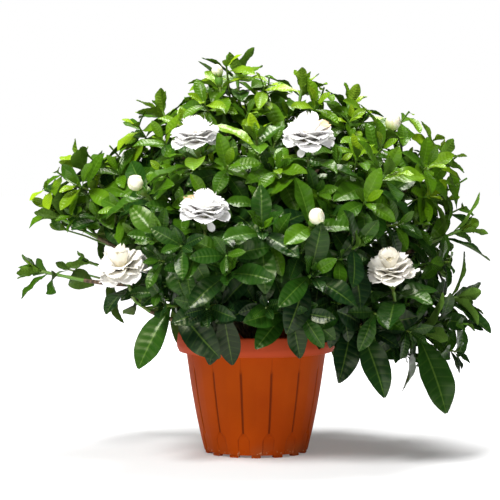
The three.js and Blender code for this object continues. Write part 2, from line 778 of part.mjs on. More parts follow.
function bloomSpace(shoot) {
  const { axis } = stemOf(shoot);
  const base = bloomBase(shoot);
  const rings = [[6, -2], [40, -11], [46, 4], [42, 28], [22, 49]].map(([radius, up]) => ringAround(
    base.clone().addScaledVector(axis, up * shoot.bloom), axis, radius * shoot.bloom + 1, 8,
  ));
  return testable(loft(rings));
}

// Buds: a plump cream bud on its calyx

function budForm(shoot, margin = 0) {
  const { tip, axis } = stemOf(shoot);
  const base = tip.clone().addScaledVector(axis, calyxHeight(shoot) + GAP);
  const rings = [[3.4, 0], [10.4, 6], [12.4, 13], [8.4, 20.5]].map(([radius, up], i) => ringAround(
    base.clone().addScaledVector(axis, up * shoot.bud), axis, radius * shoot.bud + margin, 6, i * 0.25,
  ));
  rings.push([base.clone().addScaledVector(axis, 26 * shoot.bud + margin)]);
  return loft(rings);
}

// A leaf of a shoot's whorl, with the bend that it is given

function bladeOf(index, whorl, place, { base, heading, normal, length, arch }) {
  return {
    whorl,
    place,
    base,
    heading,
    normal,
    side: heading.clone().cross(normal),
    length,
    halfWidth: length * (0.2 + 0.03 * draw(index, whorl * 10 + place, 4)),
    halfDepth: RIB_HALF,
    arch,
    fold: LEAF_FOLD,
    stations: length > LONG_LEAF ? [0.22, 0.52, 0.82] : [0.3, 0.7],
  };
}

function whorlLeaf(shoot, index, whorl, place, bend) {
  const rule = WHORLS[whorl];
  const { axis, start } = stemOf(shoot);
  const stem = rule.down > STEM_LENGTH / 2 ? start : axis;
  const [turn, lift, size] = bend;
  const id = whorl * 10 + place;
  const { across, over } = stemAxes(shoot, rule.down);
  const around = whorlTurn(index, whorl) + (place * 2 * Math.PI) / WHORL_LEAVES
    + (draw(index, id, 1) - 0.5) * 0.4 + degrees(turn);
  const angle = degrees(Math.max(rule.angle + lift + (draw(index, id, 2) - 0.5) * 16, LEAST_ANGLE));
  const radial = across.clone().multiplyScalar(Math.cos(around)).addScaledVector(over, Math.sin(around));
  const heading = stem.clone().multiplyScalar(Math.cos(angle)).addScaledVector(radial, Math.sin(angle));
  heading.z -= rule.sag;
  heading.normalize();
  const normal = stem.clone().multiplyScalar(Math.sin(angle)).addScaledVector(radial, -Math.cos(angle))
    .addScaledVector(lightOn(shoot), 0.45);
  normal.addScaledVector(heading, -normal.dot(heading)).normalize();
  return bladeOf(index, whorl, place, {
    base: wallOf(shoot, index, whorl, place).root,
    heading,
    normal,
    length: shoot.leaf * rule.share * size * (0.92 + 0.16 * draw(index, id, 3)),
    arch: rule.arch * (0.8 + 0.4 * draw(index, id, 5)),
  });
}

function wallOf(shoot, index, whorl, place) {
  const { across, over } = stemAxes(shoot, WHORLS[whorl].down);
  const wall = whorlTurn(index, whorl) + (place * 2 * Math.PI) / WHORL_LEAVES;
  const out = across.clone().multiplyScalar(Math.cos(wall)).addScaledVector(over, Math.sin(wall));
  return { out, root: alongStem(shoot, WHORLS[whorl].down).addScaledVector(out, STEM_RADIUS / 2) };
}

// The walls that face a tip, the best first. The youngest whorl stands too close for an aimed leaf.
function wallsFacing(shoot, index, tip) {
  const walls = [];
  for (const whorl of whorlsOf(shoot).filter((one) => one > 0)) {
    for (let place = 0; place < WHORL_LEAVES; place += 1) {
      const { out, root } = wallOf(shoot, index, whorl, place);
      const way = tip.clone().sub(root);
      const facing = out.dot(way.clone().normalize());
      const stretch = Math.abs(way.length() - shoot.leaf * 1.1) / 120;
      if (facing > LEAST_FACING) walls.push({ whorl, place, score: facing - stretch });
    }
  }
  return walls.sort((one, other) => other.score - one.score);
}

function lightOn(shoot) {
  return outward(shoot.at).multiplyScalar(0.4).addScaledVector(UP, 0.6).normalize();
}

function aimedLeaf(shoot, index, whorl, place, tip) {
  const { root } = wallOf(shoot, index, whorl, place);
  const chord = tip.clone().sub(root);
  const reach = chord.length();
  chord.normalize();
  const hang = Math.max(0, -chord.z) ** 2;
  const face = lightOn(shoot)
    .add(outward(shoot.at).setZ(0).multiplyScalar(0.6 * (1 - hang)))
    .addScaledVector(FRONT, 1.4 * hang);
  face.addScaledVector(chord, -face.dot(chord)).normalize();
  const half = AIMED_ARCH / 2;
  const heading = chord.clone().multiplyScalar(Math.cos(half)).addScaledVector(face, Math.sin(half));
  const normal = face.clone().multiplyScalar(Math.cos(half)).addScaledVector(chord, -Math.sin(half));
  const length = (reach * half) / Math.sin(half);
  return bladeOf(index, whorl, place, { base: root, heading, normal, length, arch: AIMED_ARCH });
}

// Grow the shrub: stems, twigs, blooms and buds stand first, and each leaf then takes the first bend
// that crosses none of them and no leaf already grown

const potSpace = testable(loft([
  ringAround(vector(0, 0, -1), UP, FOOT_RADIUS + 3, 20),
  ringAround(vector(0, 0, 150), UP, BODY_RADIUS + 5, 20),
  ringAround(vector(0, 0, 156), UP, RIM_RADIUS + 5, 20),
  ringAround(vector(0, 0, POT_HEIGHT + 1), UP, RIM_RADIUS + 4, 20),
]));

const standing = [{ owner: -1, whole: potSpace }];
Object.values(FORKS).forEach((place, i) => {
  standing.push({ owner: -1, whole: testable(limbForm(place, i)) });
});
SHOOTS.forEach((shoot, index) => {
  standing.push({ owner: -1, whole: testable(twigForm(shoot, index)) });
  standing.push({ owner: index, whole: testable(shootForm(shoot, index, [])) });
  if (shoot.bloom) standing.push({ owner: -1, whole: bloomSpace(shoot) });
  if (shoot.bud) standing.push({ owner: -1, whole: testable(budForm(shoot, 1)) });
});

// A leaf meets its own stem and its whorl at the root, so there only what lies past it is compared
function isClear(leaf, owner) {
  const blade = (from) => testable(bladeForm(leaf, from, LEAF_MARGIN));
  const [whole, pastRoot, outer] = [blade(0), blade(PAST_ROOT), blade(PAST_STEM)];
  return standing.every((piece) => {
    if (piece.owner !== owner) return !crosses(whole, piece.whole);
    if (piece.whorl === undefined) return !crosses(outer, piece.whole);
    return piece.whorl === leaf.whorl ? !crosses(pastRoot, piece.pastRoot) : !crosses(whole, piece.whole);
  });
}

const leavesOf = SHOOTS.map(() => []);

function keep(leaf, index) {
  leavesOf[index].push(leaf);
  standing.push({
    owner: index,
    whorl: leaf.whorl,
    whole: testable(bladeForm(leaf)),
    pastRoot: testable(bladeForm(leaf, PAST_ROOT)),
  });
}

function isGrown(index, whorl, place) {
  return leavesOf[index].some((leaf) => leaf.whorl === whorl && leaf.place === place);
}

SHOOTS.forEach((shoot, index) => {
  for (const point of shoot.tips ?? []) {
    const tip = vector(...point);
    const leaf = wallsFacing(shoot, index, tip)
      .filter(({ whorl }) => leavesOf[index].every((grown) => grown.whorl !== whorl))
      .map(({ whorl, place }) => aimedLeaf(shoot, index, whorl, place, tip))
      .find((one) => isClear(one, index));
    if (leaf) keep(leaf, index);
  }
});

for (let whorl = 0; whorl < WHORLS.length; whorl += 1) {
  SHOOTS.forEach((shoot, index) => {
    for (let place = 0; place < WHORL_LEAVES; place += 1) {
      if (!whorlsOf(shoot).includes(whorl) || isGrown(index, whorl, place)) continue;
      if (shoot.bare?.includes(whorl * 10 + place)) continue;
      const leaf = BENDS.map((bend) => whorlLeaf(shoot, index, whorl, place, bend))
        .find((one) => isClear(one, index));
      if (leaf) keep(leaf, index);
    }
  });
}

// The finished object

const FINISH = {
  pot: new THREE.MeshStandardMaterial({ color: 0xb4501e, roughness: 0.5, metalness: 0 }),
  soil: new THREE.MeshStandardMaterial({ color: 0x2b1d14, roughness: 0.95, metalness: 0 }),
  wood: new THREE.MeshStandardMaterial({ color: 0x6b5038, roughness: 0.85, metalness: 0 }),
  leaf: new THREE.MeshStandardMaterial({ color: 0x2f6b1f, roughness: 0.4, metalness: 0 }),
  petal: new THREE.MeshStandardMaterial({ color: 0xf6f2e6, roughness: 0.6, metalness: 0 }),
  bud: new THREE.MeshStandardMaterial({ color: 0xe9e4b8, roughness: 0.55, metalness: 0 }),
};

function named(solid, name, finish) {
  const mesh = new THREE.Mesh(geometryOf(solid), finish.clone());
  mesh.name = name;
  return mesh;
}

const gardenia = new THREE.Group();
gardenia.name = 'potted_gardenia';
gardenia.add(named(pot(), 'pot', FINISH.pot));
gardenia.add(named(soil(), 'soil', FINISH.soil));

const wood = [
  trunk(),
  ...Object.values(FORKS).map((place, i) => solidOfForm(limbForm(place, i))),
  ...SHOOTS.map((shoot, index) => solidOfForm(twigForm(shoot, index))),
];
gardenia.add(named(wasm.Manifold.union(wood), 'woody_stems', FINISH.wood));

SHOOTS.forEach((shoot, index) => {
  const add = (form, kind, finish) => {
    gardenia.add(named(solidOfForm(form), `${kind}_${shoot.name}`, finish));
  };
  add(shootForm(shoot, index, leavesOf[index]), 'shoot', FINISH.leaf);
  if (shoot.bloom) add(bloomForm(shoot, index), 'bloom', FINISH.petal);
  if (shoot.bud) add(budForm(shoot), 'bud', FINISH.bud);
});

export default gardenia;
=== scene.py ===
import itertools
import json
import math

import bpy
import numpy as np
from mathutils import Matrix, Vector
from mathutils.bvhtree import BVHTree

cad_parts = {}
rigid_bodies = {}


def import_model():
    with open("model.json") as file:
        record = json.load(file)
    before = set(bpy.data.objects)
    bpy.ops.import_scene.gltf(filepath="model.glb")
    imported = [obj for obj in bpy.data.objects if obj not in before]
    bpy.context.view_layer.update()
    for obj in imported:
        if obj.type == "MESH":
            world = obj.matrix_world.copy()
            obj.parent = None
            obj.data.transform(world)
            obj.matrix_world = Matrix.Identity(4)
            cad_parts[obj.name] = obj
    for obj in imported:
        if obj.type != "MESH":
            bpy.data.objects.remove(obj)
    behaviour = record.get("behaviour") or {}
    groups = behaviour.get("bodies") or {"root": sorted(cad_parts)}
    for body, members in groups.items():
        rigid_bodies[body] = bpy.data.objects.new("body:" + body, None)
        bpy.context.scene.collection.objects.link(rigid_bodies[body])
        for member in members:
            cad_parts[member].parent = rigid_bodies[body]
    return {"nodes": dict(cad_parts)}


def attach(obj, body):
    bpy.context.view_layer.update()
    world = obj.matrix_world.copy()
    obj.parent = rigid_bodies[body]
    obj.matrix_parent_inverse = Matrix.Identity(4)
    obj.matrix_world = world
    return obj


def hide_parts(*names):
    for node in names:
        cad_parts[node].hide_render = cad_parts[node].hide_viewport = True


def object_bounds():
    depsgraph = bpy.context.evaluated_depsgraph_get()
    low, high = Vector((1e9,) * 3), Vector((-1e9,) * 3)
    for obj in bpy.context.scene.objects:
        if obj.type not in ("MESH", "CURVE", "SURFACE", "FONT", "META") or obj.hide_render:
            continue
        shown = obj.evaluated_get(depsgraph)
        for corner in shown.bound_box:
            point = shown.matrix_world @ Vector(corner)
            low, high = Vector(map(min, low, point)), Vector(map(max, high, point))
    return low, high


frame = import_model()
cad_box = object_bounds()

# Camera, floor and light
# The camera stands three metres off at the height of the shrub's middle and looks a little down.
# The floor and the world are both near white, and three soft boxes light the plant from above.

MM = 0.001
CAMERA_PLACE = (-9.2, -2950, 430)
CAMERA_PITCH = math.atan(120 / 2950)
CAMERA_LENS = 138.5
SENSOR_WIDTH = 36


def stand(name, data):
    """An object for this data, put into the scene."""
    thing = bpy.data.objects.new(name, data)
    bpy.context.scene.collection.objects.link(thing)
    return thing


def mesh_of(name, points, faces):
    mesh = bpy.data.meshes.new(name)
    mesh.from_pydata(points, [], faces)
    return mesh


camera = stand("camera", bpy.data.cameras.new("camera"))
camera.location = [value * MM for value in CAMERA_PLACE]
camera.rotation_euler = (math.pi / 2 - CAMERA_PITCH, 0, 0)
camera.data.lens = CAMERA_LENS
camera.data.sensor_width = SENSOR_WIDTH
bpy.context.scene.camera = camera
bpy.context.scene.view_settings.view_transform = "Standard"

# Soft boxes in metres and watts: where each hangs, its side, and its power
SOFT_BOXES = {
    "key": ((-1.3, -2.1, 2.7), 1.1, 150),
    "fill": ((0.5, -3.1, 1.0), 1.4, 17),
    "top": ((0.2, 0.4, 2.8), 1.1, 96),
}
LIGHTS_AIM = (0, 0, 0.33)
WORLD_LIGHT = 0.08
FLOOR_HALF = 30
FLOOR_TONE = 0.8
FLOOR_GLOW = {"near": (0.16, 0.16, 0.16), "far": (1, 1, 1), "on the plant": (0.08, 0.08, 0.08)}

for light_name, (place, size, watts) in SOFT_BOXES.items():
    lamp = bpy.data.lights.new(light_name, "AREA")
    lamp.size = size
    lamp.energy = watts
    box = stand(light_name, lamp)
    box.location = place
    way = np.array(LIGHTS_AIM) - place
    dip = math.atan2(math.hypot(way[0], way[1]), -way[2])
    box.rotation_euler = (dip, 0, math.atan2(way[1], way[0]) - math.pi / 2)

world = bpy.data.worlds.new("studio")
world.use_nodes = True
bpy.context.scene.world = world
backdrop = world.node_tree.nodes["Background"]
backdrop.inputs["Color"].default_value = (1, 1, 1, 1)
glance = world.node_tree.nodes.new("ShaderNodeLightPath")
level = world.node_tree.nodes.new("ShaderNodeMapRange")
level.inputs["To Min"].default_value = WORLD_LIGHT
world.node_tree.links.new(glance.outputs["Is Camera Ray"], level.inputs["Value"])
world.node_tree.links.new(level.outputs["Result"], backdrop.inputs["Strength"])


class Wire:
    """A value in a material's nodes, with arithmetic that adds Math nodes."""

    def __init__(self, finish, socket):
        self.finish = finish
        self.socket = socket

    def maths(self, operation, *values):
        return self.finish.node("Math", {"operation": operation}, dict(enumerate(values)))

    def __add__(self, other):
        return self.maths("ADD", self, other)

    def __sub__(self, other):
        return self.maths("SUBTRACT", self, other)

    def __rsub__(self, other):
        return self.maths("SUBTRACT", other, self)

    def __mul__(self, other):
        return self.maths("MULTIPLY", self, other)

    def __abs__(self):
        return self.maths("ABSOLUTE", self)

    __radd__ = __add__
    __rmul__ = __mul__

    def between(self, low, high):
        """0 below low, 1 above high, eased in between; swapped ends turn it round."""
        if low > high:
            return 1 - self.between(high, low)
        settings = {"interpolation_type": "SMOOTHSTEP"}
        return self.finish.node("MapRange", settings, {"Value": self, "From Min": low, "From Max": high})


class Finish:
    """A material whose nodes are added one at a time round a Principled shader."""

    def __init__(self, name, **constants):
        self.material = bpy.data.materials.new(name)
        self.material.use_nodes = True
        self.tree = self.material.node_tree
        self.surface = self.tree.nodes["Principled BSDF"]
        for socket, value in constants.items():
            self.surface.inputs[socket.replace("_", " ")].default_value = value

    def node(self, kind, settings=None, sockets=None, output=0):
        added = self.tree.nodes.new("ShaderNode" + kind)
        for key, value in (settings or {}).items():
            if key == "stops":
                self.set_stops(added.color_ramp.elements, value)
            else:
                setattr(added, key, value)
        for key, value in (sockets or {}).items():
            if isinstance(value, Wire):
                self.tree.links.new(value.socket, added.inputs[key])
            else:
                added.inputs[key].default_value = value
        return Wire(self, added.outputs[output])

    def set_stops(self, elements, stops):
        while len(elements) < len(stops):
            elements.new(0.5)
        for element, (place, colour) in zip(elements, stops):
            element.position = place
            element.color = (*colour, 1)

    def mix(self, factor, first, second):
        colours = [value if isinstance(value, Wire) else (*value, 1) for value in (first, second)]
        sockets = {0: factor, 6: colours[0], 7: colours[1]}
        return self.node("Mix", {"data_type": "RGBA"}, sockets, output=2)

    def place(self):
        return self.node("TexCoord", output=3)

    def part(self, vector, axis):
        return self.node("SeparateXYZ", None, {"Vector": vector}, output=axis)

    def noise(self, scale, detail=2, where=None):
        sockets = {"Vector": where or self.place(), "Scale": scale, "Detail": detail}
        return self.node("TexNoise", None, sockets)

    def value(self, name):
        return self.node("Attribute", {"attribute_name": name}, output=2)

    def bump(self, height, depth, strength=1):
        return self.node("Bump", None, {"Height": height, "Distance": depth, "Strength": strength})

    def feed(self, **wires):
        for socket, wire in wires.items():
            self.tree.links.new(wire.socket, self.surface.inputs[socket.replace("_", " ")])


def floor_finish():
    """A matt pale floor that glows into the white of the backdrop further out."""
    tone = (FLOOR_TONE, FLOOR_TONE, FLOOR_TONE, 1)
    finish = Finish("pale_floor", Base_Color=tone, Roughness=0.9, Specular_IOR_Level=0.1)
    finish.surface.inputs["Emission Strength"].default_value = 1
    flat = finish.node("VectorMath", {"operation": "LENGTH"}, {0: finish.place()}, output=1)
    glow = finish.mix(flat.between(0.3, 2.4), FLOOR_GLOW["near"], FLOOR_GLOW["far"])
    finish.feed(Emission_Color=finish.mix(finish.node("LightPath"), FLOOR_GLOW["on the plant"], glow))
    return finish.material


floor_corners = [(x * FLOOR_HALF, y * FLOOR_HALF, 0) for x, y in ((-1, -1), (1, -1), (1, 1), (-1, 1))]
floor_mesh = mesh_of("floor", floor_corners, [(0, 1, 2, 3)])
floor_mesh.materials.append(floor_finish())
floor = stand("floor", floor_mesh)


# Pot
# A moulded plastic pot, orange-brown, in one piece: tapered body with fourteen flat staves parted by
# grooves, an arch at the foot of each groove, small feet, and a rim band that stands out. The wall is
# a polar grid whose radius follows the mould, and shallow grooves are pressed into it.

POT_HEIGHT = 184
POT_WALL = 3.2
FOOT_RADIUS = 79
BODY_RADIUS = 107
BODY_SWELL = 0.42
RIM_RADIUS = 121
RIM_HEIGHT = 29
BAND = POT_HEIGHT - RIM_HEIGHT
STAVES = 14
FOOT_HEIGHT = 4
FLOOR_TOP = FOOT_HEIGHT + 4
GROOVE = {"half": 1.2, "depth": 1.3, "low": 34, "high": 132}
ARCH = {"half": 9, "depth": 1.5, "high": 38}

# The rim's section from the wall up, over the lip and down inside: out from its radius, up from the band
RIM_PROFILE = [
    (-4.5, 0), (-2.6, 0.6), (-2, 2.4), (0.2, 7), (0.8, 12), (-0.2, 20), (-1.3, 27), (-2, 28.4),
    (-3.2, 29), (-4.6, 28.2), (-5, 26), (-5, 6), (-7, 3),
]
POT_COLOURS = {
    "fresh": (0.44, 0.062, 0.0), "weathered": (0.37, 0.045, 0.0), "rim": (0.5, 0.07, 0.028),
    "dust": (0.3, 0.12, 0.05), "scuff": (0.55, 0.36, 0.2), "grime": (0.1, 0.014, 0.002),
}


def plastic_finish():
    finish = Finish("pot_plastic", Specular_IOR_Level=0.06)
    height = finish.part(finish.place(), 2)
    cloud = finish.noise(9, 4)
    speck = finish.noise(260, 2)
    colour = finish.mix(cloud.between(0.3, 0.75), POT_COLOURS["fresh"], POT_COLOURS["weathered"])
    rim = height.between((BAND - 2) * MM, (BAND + 3) * MM)
    colour = finish.mix(rim * 0.8, colour, POT_COLOURS["rim"])
    dust = height.between(30 * MM, 3 * MM) * finish.noise(22, 5).between(0.4, 0.7)
    colour = finish.mix(dust * 0.35, colour, POT_COLOURS["dust"])
    scuff = height.between(13 * MM, 5 * MM) * finish.noise(210, 3).between(0.58, 0.66)
    colour = finish.mix(scuff * 0.7, colour, POT_COLOURS["scuff"])
    # Painted shade and dirt: the pot is darkened in its mould's grooves and round its arches.
    colour = finish.mix(finish.value("grime") * 0.75, colour, POT_COLOURS["grime"])
    finish.feed(
        Base_Color=colour,
        Roughness=0.46 + 0.16 * cloud + 0.2 * dust,
        Normal=finish.bump(speck * 0.4 + cloud, 0.0006, 0.5),
    )
    return finish.material


def mould_radius(z):
    t = z / BAND
    return FOOT_RADIUS + (BODY_RADIUS - FOOT_RADIUS) * t * (1 + BODY_SWELL * (1 - t))


def eased(value, low, high):
    t = np.clip((value - low) / (high - low), 0, 1)
    return t * t * (3 - 2 * t)


def mould_lines(angle, z):
    """How fully grooves and arches are pressed in, and how far aside of a stave's middle it is."""
    stave = 2 * math.pi / STAVES
    offset = (angle + math.pi / 2 + stave / 2) % stave
    aside = np.minimum(offset, stave - offset) * mould_radius(z)
    groove = eased(aside, GROOVE["half"] + 0.7, GROOVE["half"] - 0.3)
    groove *= eased(z, GROOVE["low"] - 2, GROOVE["low"]) * eased(z, GROOVE["high"] + 2, GROOVE["high"] - 2)
    crest = np.sqrt(np.clip((ARCH["high"] - z) / (ARCH["half"] * 1.2), 0, 1))
    half = ARCH["half"] * crest
    arch = eased(aside, half + 0.3, half - 0.9)
    return groove, arch, aside / (stave * mould_radius(z) / 2)


def mould_relief(angle, z):
    """How far the body's wall is pressed in: grooves, arches and the staves' slight crown."""
    groove, arch, aside = mould_lines(angle, z)
    crown = 0.8 - 0.8 * aside**2
    return GROOVE["depth"] * groove + ARCH["depth"] * arch + crown * 0.6 * eased(z, 150, 130)


def keep(mesh, name, domain, values):
    """A number for each point or each face of a mesh."""
    numbers = np.asarray(values, np.float32)
    mesh.attributes.new(name, "FLOAT", domain).data.foreach_set("value", numbers)


def keep_groove_dirt_and_shade(mesh):
    """Darker in the grooves and along the edge of the arches: partly dirt, partly painted shade."""
    x, y, z = np.array([vertex.co for vertex in mesh.vertices]).T / MM
    groove, arch, _ = mould_lines(np.arctan2(y, x), z)
    outside = (np.hypot(x, y) > mould_radius(z) - POT_WALL / 2 - 1) & (z < BAND - 1) & (z > FOOT_HEIGHT + 1)
    keep(mesh, "grime", "POINT", np.maximum(groove, 3.2 * arch * (1 - arch)) * outside)


def revolve(name, rows, columns, relief):
    """A closed turned piece from (radius, height) rows that start and end on the axis."""
    angles = np.linspace(0, 2 * math.pi, columns, endpoint=False)
    points = [(0, 0, rows[0][1] * MM)]
    for radius, z in rows[1:-1]:
        reach = radius - relief(angles, z, radius)
        points += zip(reach * np.cos(angles) * MM, reach * np.sin(angles) * MM, [z * MM] * columns)
    points.append((0, 0, rows[-1][1] * MM))
    faces = []
    following = [(k + 1) % columns for k in range(columns)]
    last = 1 + (len(rows) - 3) * columns
    for k in range(columns):
        faces.append((0, 1 + following[k], 1 + k))
        faces.append((len(points) - 1, last + k, last + following[k]))
    for start in range(1, last, columns):
        for k in range(columns):
            a, b = start + k, start + following[k]
            faces.append((a, b, b + columns, a + columns))
    return mesh_of(name, points, faces)


def seat(mesh, name, nodes=(), materials=()):
    """A finished mesh as a piece that rides on the plant and stands for its nodes."""
    for material in materials:
        mesh.materials.append(material)
    mesh.shade_smooth()
    piece = stand(name, mesh)
    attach(piece, "root")
    if nodes:
        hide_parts(*nodes)


def pot_rows():
    """The pot's section, from the middle of its underside up the outside and down the inside."""
    foot = [(0, FOOT_HEIGHT), (FOOT_RADIUS - 12, FOOT_HEIGHT), (FOOT_RADIUS - 0.8, FOOT_HEIGHT)]
    heights = np.concatenate([np.arange(FOOT_HEIGHT + 0.8, 44, 1.6), np.linspace(44, BAND - 0.5, 26), [BAND]])
    outside = [(mould_radius(z), z) for z in heights]
    rim = [(RIM_RADIUS + out, BAND + up) for out, up in RIM_PROFILE]
    inside = [(mould_radius(z) - POT_WALL, z) for z in np.linspace(BAND - 1, FLOOR_TOP + 2, 14)]
    base = [(mould_radius(FLOOR_TOP) - POT_WALL - 2, FLOOR_TOP), (0, FLOOR_TOP)]
    return foot + outside + rim + inside + base


def pot_relief(angles, z, radius):
    on_body = radius > mould_radius(z) - POT_WALL / 2 and FOOT_HEIGHT < z < BAND
    return mould_relief(angles, np.full_like(angles, z)) if on_body else 0


POT_COLUMNS = STAVES * 40
pot_mesh = revolve("pot", pot_rows(), POT_COLUMNS, pot_relief)
pot_mesh.set_sharp_from_angle(angle=math.radians(50))
keep_groove_dirt_and_shade(pot_mesh)
plastic = plastic_finish()
seat(pot_mesh, "moulded_pot", ["pot"], [plastic])

# The feet: a rounded block under each stave

FOOT_WIDTH = 14
FOOT_DEPTH = 9
FOOT_CORNER = 1.4


def foot_blocks():
    """Blocks with rounded corners, drawn in a little at the sole."""
    ring = []
    for turn, (x, y) in enumerate(((1, 1), (-1, 1), (-1, -1), (1, -1))):
        for a in np.linspace(turn * math.pi / 2, (turn + 1) * math.pi / 2, 4):
            ring.append((
                x * (FOOT_DEPTH / 2 - FOOT_CORNER) + FOOT_CORNER * math.cos(a),
                y * (FOOT_WIDTH / 2 - FOOT_CORNER) + FOOT_CORNER * math.sin(a),
            ))
    count = len(ring)
    points, faces = [], []
    for k in range(STAVES):
        angle = -math.pi / 2 + k * 2 * math.pi / STAVES
        cos, sin = math.cos(angle), math.sin(angle)
        first = len(points)
        for z, shrink in ((FOOT_HEIGHT + 1.2, 1), (0.5, 1), (0, 0.92)):
            for x, y in ring:
                out = FOOT_RADIUS - FOOT_DEPTH / 2 - 0.8 + x * shrink
                side = y * shrink
                points.append(((out * cos - side * sin) * MM, (out * sin + side * cos) * MM, z * MM))
        for a in range(first, first + 2 * count):
            b = a + 1 if (a + 1 - first) % count else a + 1 - count
            faces.append((a, a + count, b + count, b))
        faces.append(tuple(range(first, first + count)))
        faces.append(tuple(reversed(range(first + 2 * count, first + 3 * count))))
    mesh = mesh_of("pot_feet", points, faces)
    mesh.set_sharp_from_angle(angle=math.radians(40))
    return mesh


seat(foot_blocks(), "pot_feet", (), [plastic])

# Soil
# Dark peat and bark mix that fills the pot to below its rim, a little heaped round the trunk. Its
# surface is lumpy, and loose crumbs of bark are strewn over it by nodes.

SOIL_TOP = 158
SOIL_EDGE = BAND * 0.93
CRUMBS = 900
CRUMB_SIZE = 0.0042
PEAT = {"dark": (0.018, 0.011, 0.007), "brown": (0.075, 0.045, 0.026), "grain": (0.16, 0.11, 0.07)}
CRUMB_COLOURS = ((0.03, 0.017, 0.01), (0.14, 0.075, 0.035))


def soil_finish():
    finish = Finish("soil")
    lumps = finish.noise(90, 6)
    grain = finish.noise(420, 3)
    colour = finish.mix(lumps.between(0.35, 0.7), PEAT["dark"], PEAT["brown"])
    colour = finish.mix(grain.between(0.62, 0.72) * 0.5, colour, PEAT["grain"])
    finish.feed(
        Base_Color=colour,
        Roughness=0.85 + 0.1 * grain,
        Normal=finish.bump(lumps + grain * 0.5, 0.003, 0.9),
    )
    return finish.material


def soil_rows():
    bottom = FLOOR_TOP + 0.6
    side = [(mould_radius(z) - POT_WALL - 0.4, z) for z in np.linspace(bottom, SOIL_EDGE, 9)]
    edge = side[-1][0]
    top = []
    for radius in np.linspace(edge - 2, 3, 34):
        climb = eased(radius, edge, 40)
        lump = 1.6 * math.sin(radius * 0.45) * math.cos(radius * 0.17)
        top.append((radius, SOIL_EDGE + (SOIL_TOP - SOIL_EDGE - 1.8) * climb + lump))
    return [(0, bottom)] + side + top + [(0, SOIL_TOP)]


def soil_relief(angles, z, radius):
    return 1.3 * np.sin(angles * 9 + z * 0.8) * (z > SOIL_EDGE)


def nodes_for(name, inputs):
    """A Geometry Nodes tree with these inputs, and what adds a node to it and what ends it."""
    tree = bpy.data.node_groups.new(name, "GeometryNodeTree")
    for way in ("INPUT", "OUTPUT"):
        tree.interface.new_socket("Geometry", in_out=way, socket_type="NodeSocketGeometry")
    for label, kind, value in inputs:
        socket = tree.interface.new_socket(label, in_out="INPUT", socket_type="NodeSocket" + kind)
        socket.default_value = value
    start = tree.nodes.new("NodeGroupInput")
    end = tree.nodes.new("NodeGroupOutput")

    def add(kind, settings=None, **sockets):
        """Sockets are given by name, or as n0, n1 and so on. A node stands for its first output."""
        made = tree.nodes.new(kind)
        for key, value in (settings or {}).items():
            setattr(made, key, value)
        for key, value in sockets.items():
            numbered = key[0] == "n" and key[1:].isdigit()
            socket = made.inputs[int(key[1:]) if numbered else key.replace("_", " ")]
            if isinstance(value, bpy.types.Node):
                value = value.outputs[0]
            if isinstance(value, bpy.types.NodeSocket):
                tree.links.new(value, socket)
            else:
                socket.default_value = value
        return made

    def close(shape, material):
        real = add("GeometryNodeRealizeInstances", Geometry=shape)
        coated = add("GeometryNodeSetMaterial", Geometry=real, Material=material)
        tree.links.new(coated.outputs[0], end.inputs[0])
        return tree

    return start.outputs, add, close


def grown(source, tree, values):
    """The mesh that a node tree makes from an object, with the object and modifier removed."""
    modifier = source.modifiers.new(tree.name, "NODES")
    modifier.node_group = tree
    for item in tree.interface.items_tree:
        if item.in_out == "INPUT" and item.name in values:
            modifier[item.identifier] = values[item.name]
    graph = bpy.context.evaluated_depsgraph_get()
    mesh = bpy.data.meshes.new_from_object(source.evaluated_get(graph))
    bpy.data.objects.remove(source)
    return mesh


def crumb_tree(material):
    """Lumps of all sizes and turns, strewn where the soil's surface faces up."""
    inputs = [("Count", "Int", 1), ("Size", "Float", 0.001), ("Seed", "Int", 0)]
    given, add, close = nodes_for("crumbs", inputs)
    slope = add("ShaderNodeSeparateXYZ", Vector=add("GeometryNodeInputNormal"))
    upward = add("FunctionNodeCompare", {"data_type": "FLOAT"}, A=slope.outputs[2], B=0.6)
    place = add("ShaderNodeSeparateXYZ", Vector=add("GeometryNodeInputPosition"))
    above = add("FunctionNodeCompare", {"data_type": "FLOAT"}, A=place.outputs[2], B=BAND * 0.9 * MM)
    chosen = add("FunctionNodeBooleanMath", n0=upward, n1=above)
    area = math.pi * (mould_radius(SOIL_EDGE) * MM) ** 2
    density = add("ShaderNodeMath", {"operation": "DIVIDE"}, n0=given["Count"], n1=area)
    spots = add(
        "GeometryNodeDistributePointsOnFaces",
        Mesh=given["Geometry"], Selection=chosen, Density=density, Seed=given["Seed"],
    )
    lump = add("GeometryNodeMeshIcoSphere", Radius=1.0, Subdivisions=1)
    vector = {"data_type": "FLOAT_VECTOR"}
    turn = add("FunctionNodeRandomValue", vector, Seed=given["Seed"], Max=(6.28, 6.28, 6.28))
    shape = add(
        "FunctionNodeRandomValue", vector,
        Seed=given["Seed"], Min=(0.25, 0.2, 0.12), Max=(1.0, 0.6, 0.35),
    )
    scale = add("ShaderNodeVectorMath", {"operation": "SCALE"}, Vector=shape, Scale=given["Size"])
    strewn = add("GeometryNodeInstanceOnPoints", Points=spots, Instance=lump, Rotation=turn, Scale=scale)
    return close(strewn, material)


def crumb_finish():
    finish = Finish("bark_crumbs")
    colour = finish.mix(finish.noise(130, 1).between(0.4, 0.6), *CRUMB_COLOURS)
    finish.feed(
        Base_Color=colour,
        Roughness=0.8 + 0.1 * finish.noise(300),
        Normal=finish.bump(finish.noise(600), 0.0005),
    )
    return finish.material


soil_mesh = revolve("soil", soil_rows(), 120, soil_relief)
seat(soil_mesh, "soil_bed", ["soil"], [soil_finish()])
crumb_bed = stand("crumb_bed", soil_mesh.copy())
crumbs = grown(crumb_bed, crumb_tree(crumb_finish()), {"Count": CRUMBS, "Size": CRUMB_SIZE, "Seed": 4})
seat(crumbs, "soil_crumbs")

